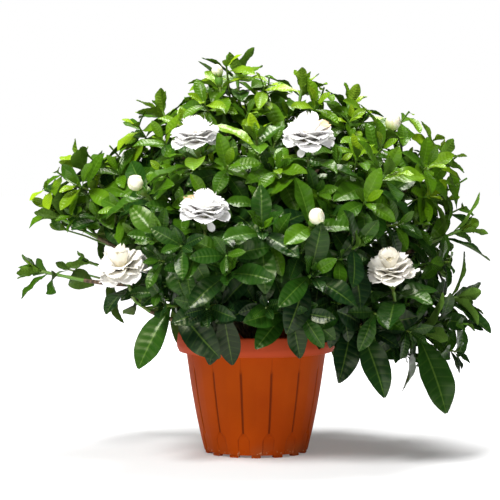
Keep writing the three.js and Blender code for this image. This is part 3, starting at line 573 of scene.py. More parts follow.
# Plan of the shrub
# Every rosette of leaves has a heart, a full leaf length and whorls of three leaves. The same rule
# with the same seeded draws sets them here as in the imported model, so the finer pieces lie on it.

FORKS = {
    "top": (-5, 10, 400),
    "front_left": (-75, -85, 300),
    "front_right": (80, -85, 300),
    "right": (130, 5, 285),
    "left": (-135, 0, 285),
    "back_left": (-75, 100, 300),
    "back_right": (75, 105, 300),
    "low_front": (0, -110, 245),
}

# Each shoot: its name, its tip, its leaves' length and how many whorls it has, then, where it has them,
# the tips of single leaves, the size of its flower and the way that it leans
SHOOTS = [
    ("top", (-29, 10, 578), 82, 4, {"tips": [(-2, -8, 620), (-90, 10, 600)]}),
    ("top_right", (71, 40, 557), 72, 4),
    ("crown_right", (146, 50, 534), 74, 4),
    ("crown_back", (10, 100, 512), 72, 3, {"bloom": 0.7}),
    ("crown_left", (-144, 30, 521), 80, 4),
    ("upper_left", (-85, -162, 460), 84, 3, {"bloom": 0.82, "tilt": (-0.12, -0.26, 0.96)}),
    ("crown_front", (0, -140, 476), 80, 4),
    ("upper_right", (75, -166, 459), 84, 3, {"bloom": 0.9, "tilt": (0, -0.3, 0.95)}),
    ("crown_far_right", (197, -30, 488), 76, 3, {"bud": 1}),
    ("right_high", (282, 0, 450), 78, 4),
    ("right_front_high", (187, -150, 425), 86, 4),
    ("left_front_high", (-164, -165, 401), 82, 3, {"bud": 1}),
    ("left_high", (-268, 0, 436), 84, 4),
    ("left_mid", (-300, -15, 360), 84, 3),
    ("front_high", (-73, -231, 354), 84, 3, {"bloom": 0.88, "tilt": (0, -0.3, 0.95)}),
    ("front", (8, -245, 348), 84, 4),
    ("front_mid_right", (79, -230, 357), 82, 3, {"bud": 1}),
    ("front_right", (143, -215, 325), 88, 4),
    ("front_left", (-137, -215, 333), 86, 3),
    ("left_front", (-187, -168, 272), 84, 3, {"bloom": 0.98, "tilt": (-0.3, -0.35, 0.89)}),
    ("left_low", (-328, -20, 278), 80, 4, {"tips": [(-370, -20, 285), (-356, -40, 236)]}),
    ("right_mid", (312, 0, 340), 84, 3, {"tips": [(360, 0, 292), (343, 0, 400)]}),
    ("right_front", (197, -174, 266), 86, 3, {"bloom": 0.95, "tilt": (-0.15, -0.35, 0.92)}),
    ("right_low", (306, -40, 240), 84, 4, {"tips": [(354, -60, 186), (358, -40, 222)]}),
    ("skirt_right", (250, -90, 190), 100, 3, {"tips": [(282, -110, 70), (322, -80, 132)]}),
    ("skirt_front_right", (158, -165, 205), 104, 3, {"tips": [(185, -190, 103), (118, -185, 124)]}),
    ("skirt_left", (-130, -185, 238), 104, 3, {"tips": [(-170, -200, 146), (-194, -215, 213)]}),
    ("skirt_front_left", (-52, -205, 238), 96, 3, {"tips": [(-68, -180, 150), (-34, -182, 150)]}),
    ("skirt_front", (50, -205, 232), 96, 3, {"tips": [(63, -185, 160), (-2, -222, 177)]}),
    ("low_front_right", (78, -240, 285), 90, 3),
    ("low_front_left", (-40, -245, 290), 90, 3),
    ("back_crown_left", (-125, 120, 495), 78, 3),
    ("back_crown_right", (130, 135, 485), 78, 3),
    ("back_high", (5, 205, 438), 82, 3, {"bloom": 0.85, "tilt": (0.05, 0.5, 0.86)}),
    ("back_left_high", (-225, 120, 400), 84, 3),
    ("back_right_high", (225, 125, 395), 84, 3),
    ("back_mid_left", (-130, 220, 338), 86, 3, {"bloom": 0.85, "tilt": (-0.2, 0.6, 0.77)}),
    ("back_mid_right", (130, 230, 335), 90, 4),
    ("back_mid", (0, 252, 320), 86, 4),
    ("back_left", (-265, 120, 285), 90, 4),
    ("back_right", (265, 125, 275), 90, 4),
    ("back_low_left", (-150, 205, 220), 100, 3),
    ("back_low_right", (150, 205, 215), 100, 3),
    ("top_left", (-56, -40, 566), 62, 3, {"bud": 0.75}),
]

# Whorls from the tip down: where on the stem, its leaves' angle from it, length, bow and sag
WHORLS = [
    {"down": 2, "angle": 26, "share": 0.55, "arch": 0.35, "sag": 0},
    {"down": 11, "angle": 52, "share": 0.86, "arch": 0.6, "sag": 0.08},
    {"down": 26, "angle": 74, "share": 1, "arch": 0.75, "sag": 0.2},
    {"down": 46, "angle": 92, "share": 1, "arch": 0.85, "sag": 0.36},
]

# What a leaf that finds no room tries in turn: degrees round the stem, degrees down, share of length
BENDS = [
    (0, 0, 1), (14, 0, 1), (-14, 0, 1), (0, -14, 1), (0, 14, 1),
    (26, -10, 0.95), (-26, -10, 0.95), (26, 12, 0.92), (-26, 12, 0.92),
    (0, -28, 0.9), (0, 26, 0.88), (38, 0, 0.85), (-38, 0, 0.85),
    (18, -24, 0.8), (-18, -24, 0.8), (18, 24, 0.8), (-18, 24, 0.8),
    (0, 0, 0.7), (30, -30, 0.68), (-30, -30, 0.68),
]
WHORL_LEAVES = 3
THIRD = 2 * math.pi / WHORL_LEAVES
STEM_RADIUS = 3.2
STEM_LENGTH = 66
LEAST_ANGLE = 20
AIMED_ARCH = 0.45
LONG_LEAF = 90
RIB_HALF = 1.0
CALYX = {"bloom": 9, "bud": 6.75}
GAP = 0.3
UP = np.array((0.0, 0.0, 1.0))
FRONT = np.array((0.0, -1.0, 0.0))


def draw(shoot, leaf, which):
    """A seeded draw from 0 to 1, its own for each shoot, leaf and use."""
    state = shoot * 7919 + leaf * 271 + which * 31 + 17
    for _ in range(3):
        state = (state * 1664525 + 1013904223) % 2**32
    return state / 2**32


def unit(vector):
    return np.asarray(vector, float) / np.linalg.norm(vector)


def square_to(vector, axis):
    return unit(vector - axis * np.dot(vector, axis))


def outward(at):
    return unit((at[0], at[1], (at[2] - 215) * 1.1))


def cross_axes(axis):
    helper = UP if abs(axis[2]) < 0.9 else np.array((0.0, 1.0, 0.0))
    across = unit(np.cross(helper, axis))
    return across, np.cross(axis, across)


def spoke(across, over, angle):
    return across * math.cos(angle) + over * math.sin(angle)


def ring_of(across, over, angles):
    return np.outer(np.cos(angles), across) + np.outer(np.sin(angles), over)


def sheet(base, heading, normal, length, half_width, arch, identity, whorl=0):
    """What shapes one leaf or petal, in millimetres, and the number that its draws go by."""
    return {
        "base": base, "heading": heading, "normal": normal, "side": np.cross(heading, normal),
        "length": length, "half_width": half_width, "arch": arch, "id": identity, "whorl": whorl,
    }


def reaching(base, tip, face, arch):
    """Heading, normal and length of a leaf that arches from its base to a given tip."""
    chord = unit(tip - base)
    face = square_to(face, chord)
    half = arch / 2
    heading = chord * math.cos(half) + face * math.sin(half)
    normal = face * math.cos(half) - chord * math.sin(half)
    return heading, normal, np.linalg.norm(tip - base) * half / math.sin(half)


class Shoot:
    """A leafy green stem: where it stands, how it leans, and the leaves and flower on it."""

    def __init__(self, index, name, at, leaf, whorls, extras=None):
        extras = extras or {}
        self.index, self.name, self.leaf = index, name, leaf
        self.grown = []
        self.bloom = extras.get("bloom")
        self.bud = extras.get("bud")
        self.flower = self.bloom or self.bud
        self.tips = [np.array(tip, float) for tip in extras.get("tips", [])]
        first = 1 if self.flower else 0
        self.whorls = list(range(len(WHORLS)))[first:first + whorls]
        self.tip = np.array(at, float)
        self.out = outward(at)
        self.axis = unit(extras["tilt"]) if "tilt" in extras else self.out
        self.start = unit(self.out * 0.65 + self.axis * 0.35)
        self.middle = self.tip - self.axis * STEM_LENGTH / 2
        self.base = self.middle - self.start * STEM_LENGTH / 2
        self.light = unit(self.out * 0.4 + UP * 0.6)

    def along(self, down):
        half = STEM_LENGTH / 2
        if down <= half:
            return self.tip - self.axis * down
        return self.middle + self.start * (half - down)

    def axes(self, down):
        across, over = cross_axes(self.axis)
        if down <= STEM_LENGTH / 2:
            return across, over
        across = square_to(across, self.start)
        return across, np.cross(self.start, across)

    def radial(self, down, around):
        return spoke(*self.axes(down), around)

    def turn(self, whorl):
        return whorl * 1.05 + self.index * 2.4

    def root(self, whorl, place):
        down = WHORLS[whorl]["down"]
        out = self.radial(down, self.turn(whorl) + place * THIRD)
        return self.along(down) + out * STEM_RADIUS / 2

    def blade(self, whorl, place, heading, normal, length, arch):
        half_width = length * (0.2 + 0.03 * draw(self.index, whorl * 10 + place, 4))
        identity = self.index * 100 + whorl * 10 + place
        return sheet(self.root(whorl, place), heading, normal, length, half_width, arch, identity, whorl)

    def whorl_leaf(self, whorl, place, bend):
        rule = WHORLS[whorl]
        stem = self.start if rule["down"] > STEM_LENGTH / 2 else self.axis
        turn, lift, size = bend
        lot = [draw(self.index, whorl * 10 + place, which) for which in range(6)]
        around = self.turn(whorl) + place * THIRD + (lot[1] - 0.5) * 0.4 + math.radians(turn)
        angle = math.radians(max(rule["angle"] + lift + (lot[2] - 0.5) * 16, LEAST_ANGLE))
        radial = self.radial(rule["down"], around)
        heading = unit(stem * math.cos(angle) + radial * math.sin(angle) - UP * rule["sag"])
        normal = stem * math.sin(angle) - radial * math.cos(angle) + self.light * 0.45
        length = self.leaf * rule["share"] * size * (0.92 + 0.16 * lot[3])
        arch = rule["arch"] * (0.8 + 0.4 * lot[5])
        return self.blade(whorl, place, heading, square_to(normal, heading), length, arch)

    def aimed_leaf(self, whorl, place, tip):
        """A leaf that ends at a given tip. Where it hangs, its face turns to the front."""
        root = self.root(whorl, place)
        hang = max(0, -unit(tip - root)[2]) ** 2
        face = self.light + self.out * (1, 1, 0) * 0.6 * (1 - hang) + FRONT * 1.4 * hang
        return self.blade(whorl, place, *reaching(root, tip, face, AIMED_ARCH), AIMED_ARCH)

    def candidates(self, whorl, place):
        aimed = [self.aimed_leaf(whorl, place, tip) for tip in self.tips]
        return aimed + [self.whorl_leaf(whorl, place, bend) for bend in BENDS]

    def packed_leaves(self, corners):
        """At each place of each whorl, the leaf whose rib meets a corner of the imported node."""
        found = []
        for whorl in self.whorls:
            for place in range(WHORL_LEAVES):
                for leaf in self.candidates(whorl, place):
                    share = np.array([0.22 if leaf["length"] > LONG_LEAF else 0.3])
                    centre, normal = leaf_line(leaf, share)
                    rib = centre[0] + normal[0] * RIB_HALF
                    if np.min(np.linalg.norm(corners - rib, axis=1)) < 0.05:
                        found.append(leaf)
                        break
        return found


def leaf_line(leaf, t):
    """Points and normals of the arched midrib at the shares t of its length."""
    turn = (leaf["arch"] * t)[..., None]
    reach = leaf["length"] * np.sin(turn) / leaf["arch"]
    drop = leaf["length"] * (1 - np.cos(turn)) / leaf["arch"]
    centre = leaf["base"] + leaf["heading"] * reach - leaf["normal"] * drop
    return centre, leaf["normal"] * np.cos(turn) + leaf["heading"] * np.sin(turn)


shoots = [Shoot(index, *row) for index, row in enumerate(SHOOTS)]
for shoot in shoots:
    node = frame["nodes"]["shoot_" + shoot.name]
    corners = np.array([vertex.co for vertex in node.data.vertices]) / MM
    shoot.grown = shoot.packed_leaves(corners)

# Woody stems
# The trunk parts low down into limbs, and each limb into twigs that carry the green shoots. Brown,
# finely cracked bark, made as tubes along their paths with a little crookedness.

TRUNK_TOP = 182
LIMB_RADIUS = 6
TWIG_RADIUS = 4
FORK_STEP = 0.18
WOOD_STEP = 0.006
TRUNK = [(120, 10.5), (150, 9.6), (166, 8.8), (178, 8)]
BARK_COLOURS = {"crack": (0.05, 0.028, 0.014), "ridge": (0.2, 0.125, 0.07), "algae": (0.11, 0.12, 0.05)}
WOOD_TUBE = {"sides": 9, "crook": 0.004, "knots": 0.35}


def bark_finish():
    finish = Finish("bark", Roughness=0.8)
    stretched = finish.node("Mapping", None, {"Vector": finish.place(), "Scale": (1, 1, 0.35)})
    cracks = finish.noise(240, 5, stretched)
    patch = finish.noise(30, 3)
    colour = finish.mix(cracks.between(0.35, 0.65), BARK_COLOURS["crack"], BARK_COLOURS["ridge"])
    colour = finish.mix(patch.between(0.5, 0.7) * 0.5, colour, BARK_COLOURS["algae"])
    finish.feed(Base_Color=colour, Normal=finish.bump(cracks, 0.0012, 0.8))
    return finish.material


def bowed(start, end, direction, steps):
    bend = end - direction * np.linalg.norm(end - start) * 0.45
    t = np.linspace(0, 1, steps)[:, None]
    return start * (1 - t) ** 2 + bend * 2 * t * (1 - t) + end * t * t


def limb_path(index, steps):
    end = np.array(list(FORKS.values())[index], float)
    angle = index * 2 * math.pi / 7
    start = np.array((2.5 * math.cos(angle), 2.5 * math.sin(angle), TRUNK_TOP - 16))
    lean = unit(unit(end - start) * 1.25 - UP * 0.25)
    return bowed(start, end, lean, steps)


def twig_starts():
    """Each twig leaves the nearest limb, a little below the one before it."""
    ends = np.array(list(FORKS.values()), float)
    counts = [0] * len(ends)
    for shoot in shoots:
        over = np.maximum(0, ends[:, 2] - shoot.base[2]) * 0.8
        shoot.fork = int(np.argmin(np.linalg.norm(ends - shoot.base, axis=1) + over))
        _, middle, end = limb_path(shoot.fork, 3)
        shoot.twig_start = end + (middle - end) * counts[shoot.fork] * FORK_STEP
        counts[shoot.fork] += 1


def strand(curve, path, radii):
    spline = curve.splines.new("POLY")
    spline.points.add(len(path) - 1)
    for point, place, radius in zip(spline.points, path, radii):
        point.co = (*(place * MM), 1)
        point.radius = radius * MM


def tube_tree(material):
    """Closed tubes along curves, shifted a little by noise and swelling here and there."""
    inputs = [("Sides", "Int", 8), ("Step", "Float", 0.01)]
    inputs += [("Crook", "Float", 0.001), ("Knots", "Float", 0.1)]
    given, add, close = nodes_for("stems", inputs)
    resampled = {"mode": "LENGTH"}
    fine = add("GeometryNodeResampleCurve", resampled, Curve=given["Geometry"], Length=given["Step"])
    solid_noise = {"noise_dimensions": "3D"}
    drift = add("ShaderNodeTexNoise", solid_noise, Scale=22.0, Detail=2.0)
    minus = {"operation": "SUBTRACT"}
    centred = add("ShaderNodeVectorMath", minus, n0=drift.outputs["Color"], n1=(0.5, 0.5, 0.5))
    shift = add("ShaderNodeVectorMath", {"operation": "SCALE"}, Vector=centred, Scale=given["Crook"])
    crooked = add("GeometryNodeSetPosition", Geometry=fine, Offset=shift)
    lumps = add("ShaderNodeTexNoise", solid_noise, Scale=70.0, Detail=1.0)
    swell = add("ShaderNodeMath", {"operation": "MULTIPLY"}, n0=lumps, n1=given["Knots"])
    radius = add("GeometryNodeInputRadius")
    swollen = add("ShaderNodeMath", {"operation": "MULTIPLY_ADD"}, n0=swell, n1=radius, n2=radius)
    thick = add("GeometryNodeSetCurveRadius", Curve=crooked, Radius=swollen)
    ring = add("GeometryNodeCurvePrimitiveCircle", Resolution=given["Sides"], Radius=1.0)
    final = add("GeometryNodeInputRadius")
    solid = add("GeometryNodeCurveToMesh", Curve=thick, Profile_Curve=ring, Scale=final, Fill_Caps=True)
    return close(solid, material)


def stems_mesh(name, strands, material, sides, crook, knots):
    curve = bpy.data.curves.new(name, "CURVE")
    curve.dimensions = "3D"
    for path, radii in strands:
        strand(curve, path, radii)
    values = {"Sides": sides, "Step": WOOD_STEP, "Crook": crook, "Knots": knots}
    return grown(stand(name, curve), tube_tree(material), values)


twig_starts()
bark = bark_finish()
wood = [(np.array([(0, 0, z) for z, _ in TRUNK], float), [radius for _, radius in TRUNK])]
for index in range(len(FORKS)):
    wood.append((limb_path(index, 9), np.linspace(LIMB_RADIUS + 0.6, LIMB_RADIUS - 1.6, 9)))
for shoot in shoots:
    path = bowed(shoot.twig_start, shoot.base, shoot.start, 7)
    wood.append((path, np.linspace(TWIG_RADIUS, STEM_RADIUS * 0.75, 7)))
seat(stems_mesh("wood", wood, bark, **WOOD_TUBE), "bark_stems", ["woody_stems"])

# Leaves
# Thick, glossy, pointed blades on short stalks, in whorls of three, each folded along a pale midrib
# with about nine pairs of sunk side veins and a faintly waved edge. A blade is a closed sheet on a
# grid whose rows run along the veins. Young leaves are yellow-green, old ones dark blue-green, and
# leaves low on the shrub and deep inside it are darkened further as painted shade.

VEIN_PAIRS = 9
VEIN_SLANT = 0.8
LEAF_FOLD = 0.24
LEAF_THICKNESS = 0.55
STALK_HALF = 1.5

# Blade colours from old to new, the darkest also painted shade, then the midrib, the lower face and the green
# stems
LEAF_AGE_AND_SHADE_RAMP = [
    (0, (0.003, 0.016, 0.005)), (0.3, (0.014, 0.056, 0.004)),
    (0.62, (0.066, 0.165, 0.003)), (1, (0.3, 0.46, 0.01)),
]
RIB_COLOUR = (0.2, 0.34, 0.05)
UNDER_COLOUR = (0.1, 0.19, 0.025)
STEM_COLOURS = ((0.1, 0.25, 0.02), (0.14, 0.19, 0.03))


def leaf_finish():
    gloss = {"Specular_IOR_Level": 0.22, "Specular_Tint": (0.95, 1, 0.55, 1)}
    finish = Finish("leaf", Coat_Roughness=0.17, **gloss)
    blade = finish.node("UVMap", {"uv_map": "blade"})
    across = finish.part(blade, 0) * 2 - 1
    along = finish.part(blade, 1) * VEIN_PAIRS
    age, tone, under = [finish.value(name) for name in ("age", "tone", "under")]
    rib = abs(across).between(0.08, 0.02)
    wave = along.maths("PINGPONG", along, 0.5)
    vein = wave.between(0.13, 0.02) * abs(across).between(0.98, 0.8)
    quilt = wave.between(0, 0.5) * abs(across).between(1, 0.5)
    blotch = finish.noise(38, 3)
    # Painted shade: the leaf's age attribute also darkens leaves low on the shrub and deep inside it.
    shade = age + (tone - 0.5) * 0.26 + (blotch - 0.5) * 0.16
    colour = finish.node("ValToRGB", {"stops": LEAF_AGE_AND_SHADE_RAMP}, {0: shade})
    pale = finish.mix(0.45, colour, RIB_COLOUR)
    colour = finish.mix(rib * 0.55 + vein * 0.12, colour, pale)
    colour = finish.mix(under * 0.55, colour, UNDER_COLOUR)
    finish.feed(
        Base_Color=colour,
        Roughness=0.33 + under * 0.3 + (blotch - 0.5) * 0.15,
        Coat_Weight=(1 - under) * 0.15,
        Normal=finish.bump(blotch * 0.6 + quilt, 0.00045, 0.8),
    )
    return finish.material


def green_stem_finish():
    finish = Finish("green_stem", Roughness=0.5)
    colour = finish.mix(finish.noise(60, 3).between(0.35, 0.7), *STEM_COLOURS)
    finish.feed(Base_Color=colour, Normal=finish.bump(finish.noise(300), 0.0004))
    return finish.material


def quads_of(ids):
    """The four-sided faces of a grid of point numbers."""
    return np.stack([ids[:-1, :-1], ids[:-1, 1:], ids[1:, 1:], ids[1:, :-1]], -1).reshape(-1, 4)


class Grid:
    """The closed sheet of one blade: two faces on one grid that share its border."""

    def __init__(self, rows, cells):
        self.t = np.linspace(0, 1, rows + 1)[:, None]
        self.s = np.linspace(-1, 1, cells + 1)[None, :]
        upper = np.arange((rows + 1) * (cells + 1)).reshape(rows + 1, cells + 1)
        self.inner = np.zeros(upper.shape, bool)
        self.inner[1:-1, 1:-1] = True
        lower = upper.copy()
        lower[self.inner] = upper.size + np.arange(self.inner.sum())
        self.faces = np.concatenate([quads_of(upper), quads_of(lower)[:, [0, 3, 2, 1]]])
        self.under = np.repeat([0.0, 1.0], rows * cells)
        place = np.stack(np.broadcast_arrays((self.s + 1) / 2, self.t), -1).reshape(-1, 2)
        self.uv = np.concatenate([place, place.reshape(rows + 1, cells + 1, 2)[self.inner]])

    def points(self, upper, normal, thickness):
        lower = (upper - normal * thickness)[self.inner]
        return np.concatenate([upper.reshape(-1, 3), lower])


def leaf_width(t):
    return np.sin(math.pi * np.clip(t, 0, 1) ** 1.2) ** 0.85


def leaf_points(grid, leaf, relief, wave, twist):
    """A blade's points in millimetres: arched midrib, folded halves, quilted veins, waved edge."""
    lot = [draw(leaf["id"], 5, which) for which in range(5)]
    side = np.abs(grid.s)
    t = np.clip(grid.t * 0.985 + VEIN_SLANT * side * grid.t * (1 - grid.t) * 0.35, 0, 0.985)
    centre, normal = leaf_line(leaf, t)
    width = np.maximum(leaf["half_width"] * leaf_width(t), STALK_HALF * (1 - 0.6 * t))
    fold = LEAF_FOLD * (0.8 + 0.5 * lot[0])
    turn = (twist * (lot[1] - 0.5) * t * t)[..., None]
    across = leaf["side"] * np.cos(turn) + normal * np.sin(turn)
    up = normal * np.cos(turn) - leaf["side"] * np.sin(turn)
    quilt = relief * (1 - np.cos(2 * math.pi * VEIN_PAIRS * grid.t)) / 2 * side * (1.15 - side) * 3
    phase = np.where(grid.s < 0, lot[2], lot[3]) * 2 * math.pi
    ripple = wave * np.sin(2 * math.pi * (1.4 + lot[4]) * t + phase) * side**2 * leaf_width(t)
    lift = width * math.sin(fold) * side**1.25 + quilt + ripple
    spread = width * math.cos(fold) * grid.s
    upper = centre + across * spread[..., None] + up * lift[..., None]
    return grid.points(upper, up, LEAF_THICKNESS)


def lay_out(mesh, name, places):
    """The places of the faces' corners on the flat blade, petal or bud."""
    mesh.uv_layers.new(name=name).uv.foreach_set("vector", places.astype(np.float32).ravel())


def smooth(mesh):
    """Smooth shading, with the sharp border of a sheet kept crisp."""
    mesh.shade_smooth()
    mesh.set_sharp_from_angle(angle=math.radians(70))


class Gathered:
    """Closed sheets and tubes gathered into the mesh of one piece."""

    def __init__(self):
        self.parts = []
        self.count = 0

    def add(self, grid, points, material=0, age=0, tone=0):
        alike = [np.full(len(grid.faces), value) for value in (material, age, tone)]
        self.parts.append((points, grid.faces + self.count, grid.uv[grid.faces], grid.under, *alike))
        self.count += len(points)

    def mesh(self, name, materials, uv_name):
        points, faces, places, under, index, age, tone = map(np.concatenate, zip(*self.parts))
        mesh = mesh_of(name, np.clip(points * MM, CAD_LOW, CAD_HIGH).tolist(), faces.tolist())
        lay_out(mesh, uv_name, places)
        for key, values in (("age", age), ("tone", tone), ("under", under)):
            keep(mesh, key, "FACE", values)
        mesh.polygons.foreach_set("material_index", index.astype(np.int32))
        smooth(mesh)
        for material in materials:
            mesh.materials.append(material)
        return mesh


class Sleeve:
    """A closed round tube as a grid, for green stems, calyx cups and sepals."""

    def __init__(self, rows, sides):
        ids = np.arange(rows * sides).reshape(rows, sides)
        following = np.roll(ids, -1, axis=1)
        walls = np.stack([ids[:-1], following[:-1], following[1:], ids[1:]], -1).reshape(-1, 4)
        half = sides // 2
        foot = [(ids[0, k + 1], ids[0, k], ids[0, -k - 1], ids[0, -k - 2]) for k in range(half - 1)]
        peak = [(ids[-1, k], ids[-1, k + 1], ids[-1, -k - 2], ids[-1, -k - 1]) for k in range(half - 1)]
        self.faces = np.concatenate([walls, foot, peak])
        self.under = np.zeros(len(self.faces))
        around = np.arange(sides) / sides
        self.uv = np.stack(np.meshgrid(around, np.linspace(0, 1, rows)), -1).reshape(-1, 2)
        self.angles = around * 2 * math.pi

    def points(self, path, radii):
        """Rings of points round a path, each with one radius or with one for each side."""
        rings = []
        across = cross_axes(unit(path[1] - path[0]))[0]
        for i, centre in enumerate(path):
            axis = unit(path[min(i + 1, len(path) - 1)] - path[max(i - 1, 0)])
            across = square_to(across, axis)
            ring = ring_of(across, np.cross(axis, across), self.angles)
            rings.append(centre + ring * np.reshape(radii[i], (-1, 1)))
        return np.concatenate(rings)


CAD_LOW = np.array(cad_box[0]) + 0.0002
CAD_HIGH = np.array(cad_box[1]) - 0.0002
LEAF_GRID = Grid(VEIN_PAIRS * 2, 8)
STEM_SLEEVE = Sleeve(14, 8)
SEPAL_SLEEVE = Sleeve(5, 4)
CUP_SLEEVE = Sleeve(5, 10)
GREEN_STEM = 1
STEM_RADII = (1.9, 2.7)
CUP_RADII = (2.4, 4.6, 6.2, 6.4, 5.4)
LOBE_RADII = (1.3, 1.2, 1, 0.7, 0.3)
SHOOT_BLADE = {"relief": 1.1, "wave": 2.2, "twist": 0.8}
leaf_green = leaf_finish()
stem_green = green_stem_finish()


def leaf_age_and_shade(leaf):
    """From 0 for an old inner leaf to 1 for a new one at a tip, high up: age with painted shade mixed in."""
    place = leaf["base"]
    # Painted light and shade: higher up and further out to the sides, the colour is lighter.
    height = eased(place[2] + 0.6 * max(0, abs(place[0]) - 150), 190, 560)
    depth = math.sqrt((place[0] / 330) ** 2 + (place[1] / 260) ** 2 + ((place[2] - 230) / 350) ** 2)
    young = 1 - leaf["whorl"] / 2.4
    lot = draw(leaf["id"], 6, 0)
    age = 0.05 + 0.45 * height + 0.3 * young * (0.3 + 0.7 * height) + 0.32 * (lot - 0.5)
    # Painted shade: towards the shrub's middle the colour goes to the darkest.
    return float(np.clip(age * eased(depth, 0.2, 0.95), 0, 1))


def stem_parts(gathered, shoot):
    downs = np.linspace(STEM_LENGTH, -4, 14)
    path = np.array([shoot.along(down) for down in downs])
    swell = sum(np.exp(-((downs - WHORLS[w]["down"]) / 3) ** 2) for w in shoot.whorls)
    radii = np.interp(downs, (0, STEM_LENGTH), STEM_RADII) + 0.9 * swell
    gathered.add(STEM_SLEEVE, STEM_SLEEVE.points(path, radii), GREEN_STEM)


def calyx_parts(gathered, shoot):
    """A green ribbed cup with six slender lobes that hold the flower."""
    height = CALYX["bloom" if shoot.bloom else "bud"]
    levels = np.linspace(-8, height, 5)
    cup = shoot.tip + np.outer(levels, shoot.axis)
    gathered.add(CUP_SLEEVE, CUP_SLEEVE.points(cup, CUP_RADII), GREEN_STEM)
    across, over = cross_axes(shoot.axis)
    for k in range(6):
        radial = spoke(across, over, k * math.pi / 3 + draw(shoot.index, k, 12))
        reach = np.linspace(0, 1, 5)[:, None]
        spread, climb = (8, -1) if shoot.bloom else (4.5, 10)
        path = cup[-1] - shoot.axis * 2 + radial * (4.4 + spread * reach**1.5) + shoot.axis * climb * reach
        gathered.add(SEPAL_SLEEVE, SEPAL_SLEEVE.points(path, LOBE_RADII), GREEN_STEM)


def spear_leaves(shoot):
    """Three small new leaves that stand upright at the tip."""
    for k in range(3):
        lot = draw(shoot.index, k, 14)
        radial = shoot.radial(0, k * THIRD + shoot.index)
        angle = math.radians(10 + 12 * lot)
        heading = unit(shoot.axis * math.cos(angle) + radial * math.sin(angle))
        base = shoot.tip + radial * 1.2
        identity = shoot.index * 100 + 60 + k
        yield sheet(base, heading, square_to(-radial, heading), 20 + 14 * lot, 4.6, 0.3, identity, -0.6)


for shoot in shoots:
    gathered = Gathered()
    stem_parts(gathered, shoot)
    if shoot.flower:
        calyx_parts(gathered, shoot)
    for leaf in shoot.grown + ([] if shoot.flower else list(spear_leaves(shoot))):
        points = leaf_points(LEAF_GRID, leaf, **SHOOT_BLADE)
        gathered.add(LEAF_GRID, points, age=leaf_age_and_shade(leaf), tone=draw(leaf["id"], 6, 1))
    node = "shoot_" + shoot.name
    seat(gathered.mesh(node, [leaf_green, stem_green], "blade"), "leaves_" + shoot.name, [node])

# Side shoots
# Between the rosettes stand smaller side shoots, and older single leaves line the twigs further in,
# so that the shrub is dense. Their leaves are copies of a few blade forms, set at points by nodes,
# and each takes the first bend in which it crosses none that has already grown.

SIDE_SHOOTS = 6
SIDE_STEM_RADIUS = 1.7
SIDE_TUBE = {"sides": 6, "crook": 0.001, "knots": 0.2}
FEWEST_LEAVES = 3
TWIG_LEAVES = 10
FORMS = 6
FORM_LENGTH = 80
FORM_ARCHES = (0.35, 0.13)
FORM_BLADE = {"relief": 0, "wave": 2.2, "twist": 0.8}
SINGLE_ARCH = 0.35
CELL = 60
BLADE_CLEARANCE = 1.3

# Rosettes that fill out the shrub's outline: the heart of each and the length of its leaves
OUTLINE_SHOOTS = [
    ((-75, 20, 585), 62), ((-45, -30, 590), 60), ((20, 0, 575), 60), ((-110, 30, 545), 66),
    ((105, 20, 560), 58), ((175, 20, 525), 62), ((234, -5, 522), 58), ((274, 5, 480), 62),
    ((310, 0, 455), 56), ((322, -10, 420), 60), ((318, 10, 375), 60), ((-225, 10, 470), 62),
    ((-262, 0, 460), 60), ((-305, 0, 430), 62), ((-322, -10, 405), 60), ((-315, -15, 375), 58),
    ((-180, 0, 500), 62), ((330, -40, 270), 60), ((320, -60, 200), 62), ((300, -70, 160), 62),
    ((-140, -60, 478), 60),
]

# Single leaves over the pot's rim and at the left end: stalk, tip and half width
SINGLE_LEAVES = [
    ((152, -160, 211), (86, -160, 180), 15), ((56, -200, 229), (102, -152, 198), 14),
    ((-327, -22, 280), (-363, -22, 284), 14),
]

# The lowest and highest that side leaves reach, at places across the shrub
LOW_EDGE = [
    (-360, 262), (-250, 262), (-200, 238), (-130, 232), (-110, 212), (60, 206), (85, 176), (175, 160),
    (260, 125), (360, 125),
]
HIGH_EDGE = [
    (-366, 330), (-350, 375), (-342, 400), (-327, 417), (-296, 443), (-281, 470), (-235, 473), (-222, 452),
    (-212, 480), (-204, 518), (-158, 524), (-143, 540), (-112, 536), (-97, 578), (-66, 594), (-35, 612),
    (0, 616), (8, 580), (41, 568), (72, 578), (103, 574), (118, 560), (149, 550), (164, 533), (195, 515),
    (215, 520), (232, 533), (250, 512), (256, 490), (287, 490), (300, 462), (333, 446), (340, 400),
    (350, 235), (366, 225),
]

# Where the outline dips in between two sprays: left and right end, lowest and highest
OPEN_AIR = [
    (-331, -230, 292, 337), (-291, -239, 262, 292), (318, 366, 380, 480), (300, 366, 240, 330),
    (322, 366, 110, 190),
]


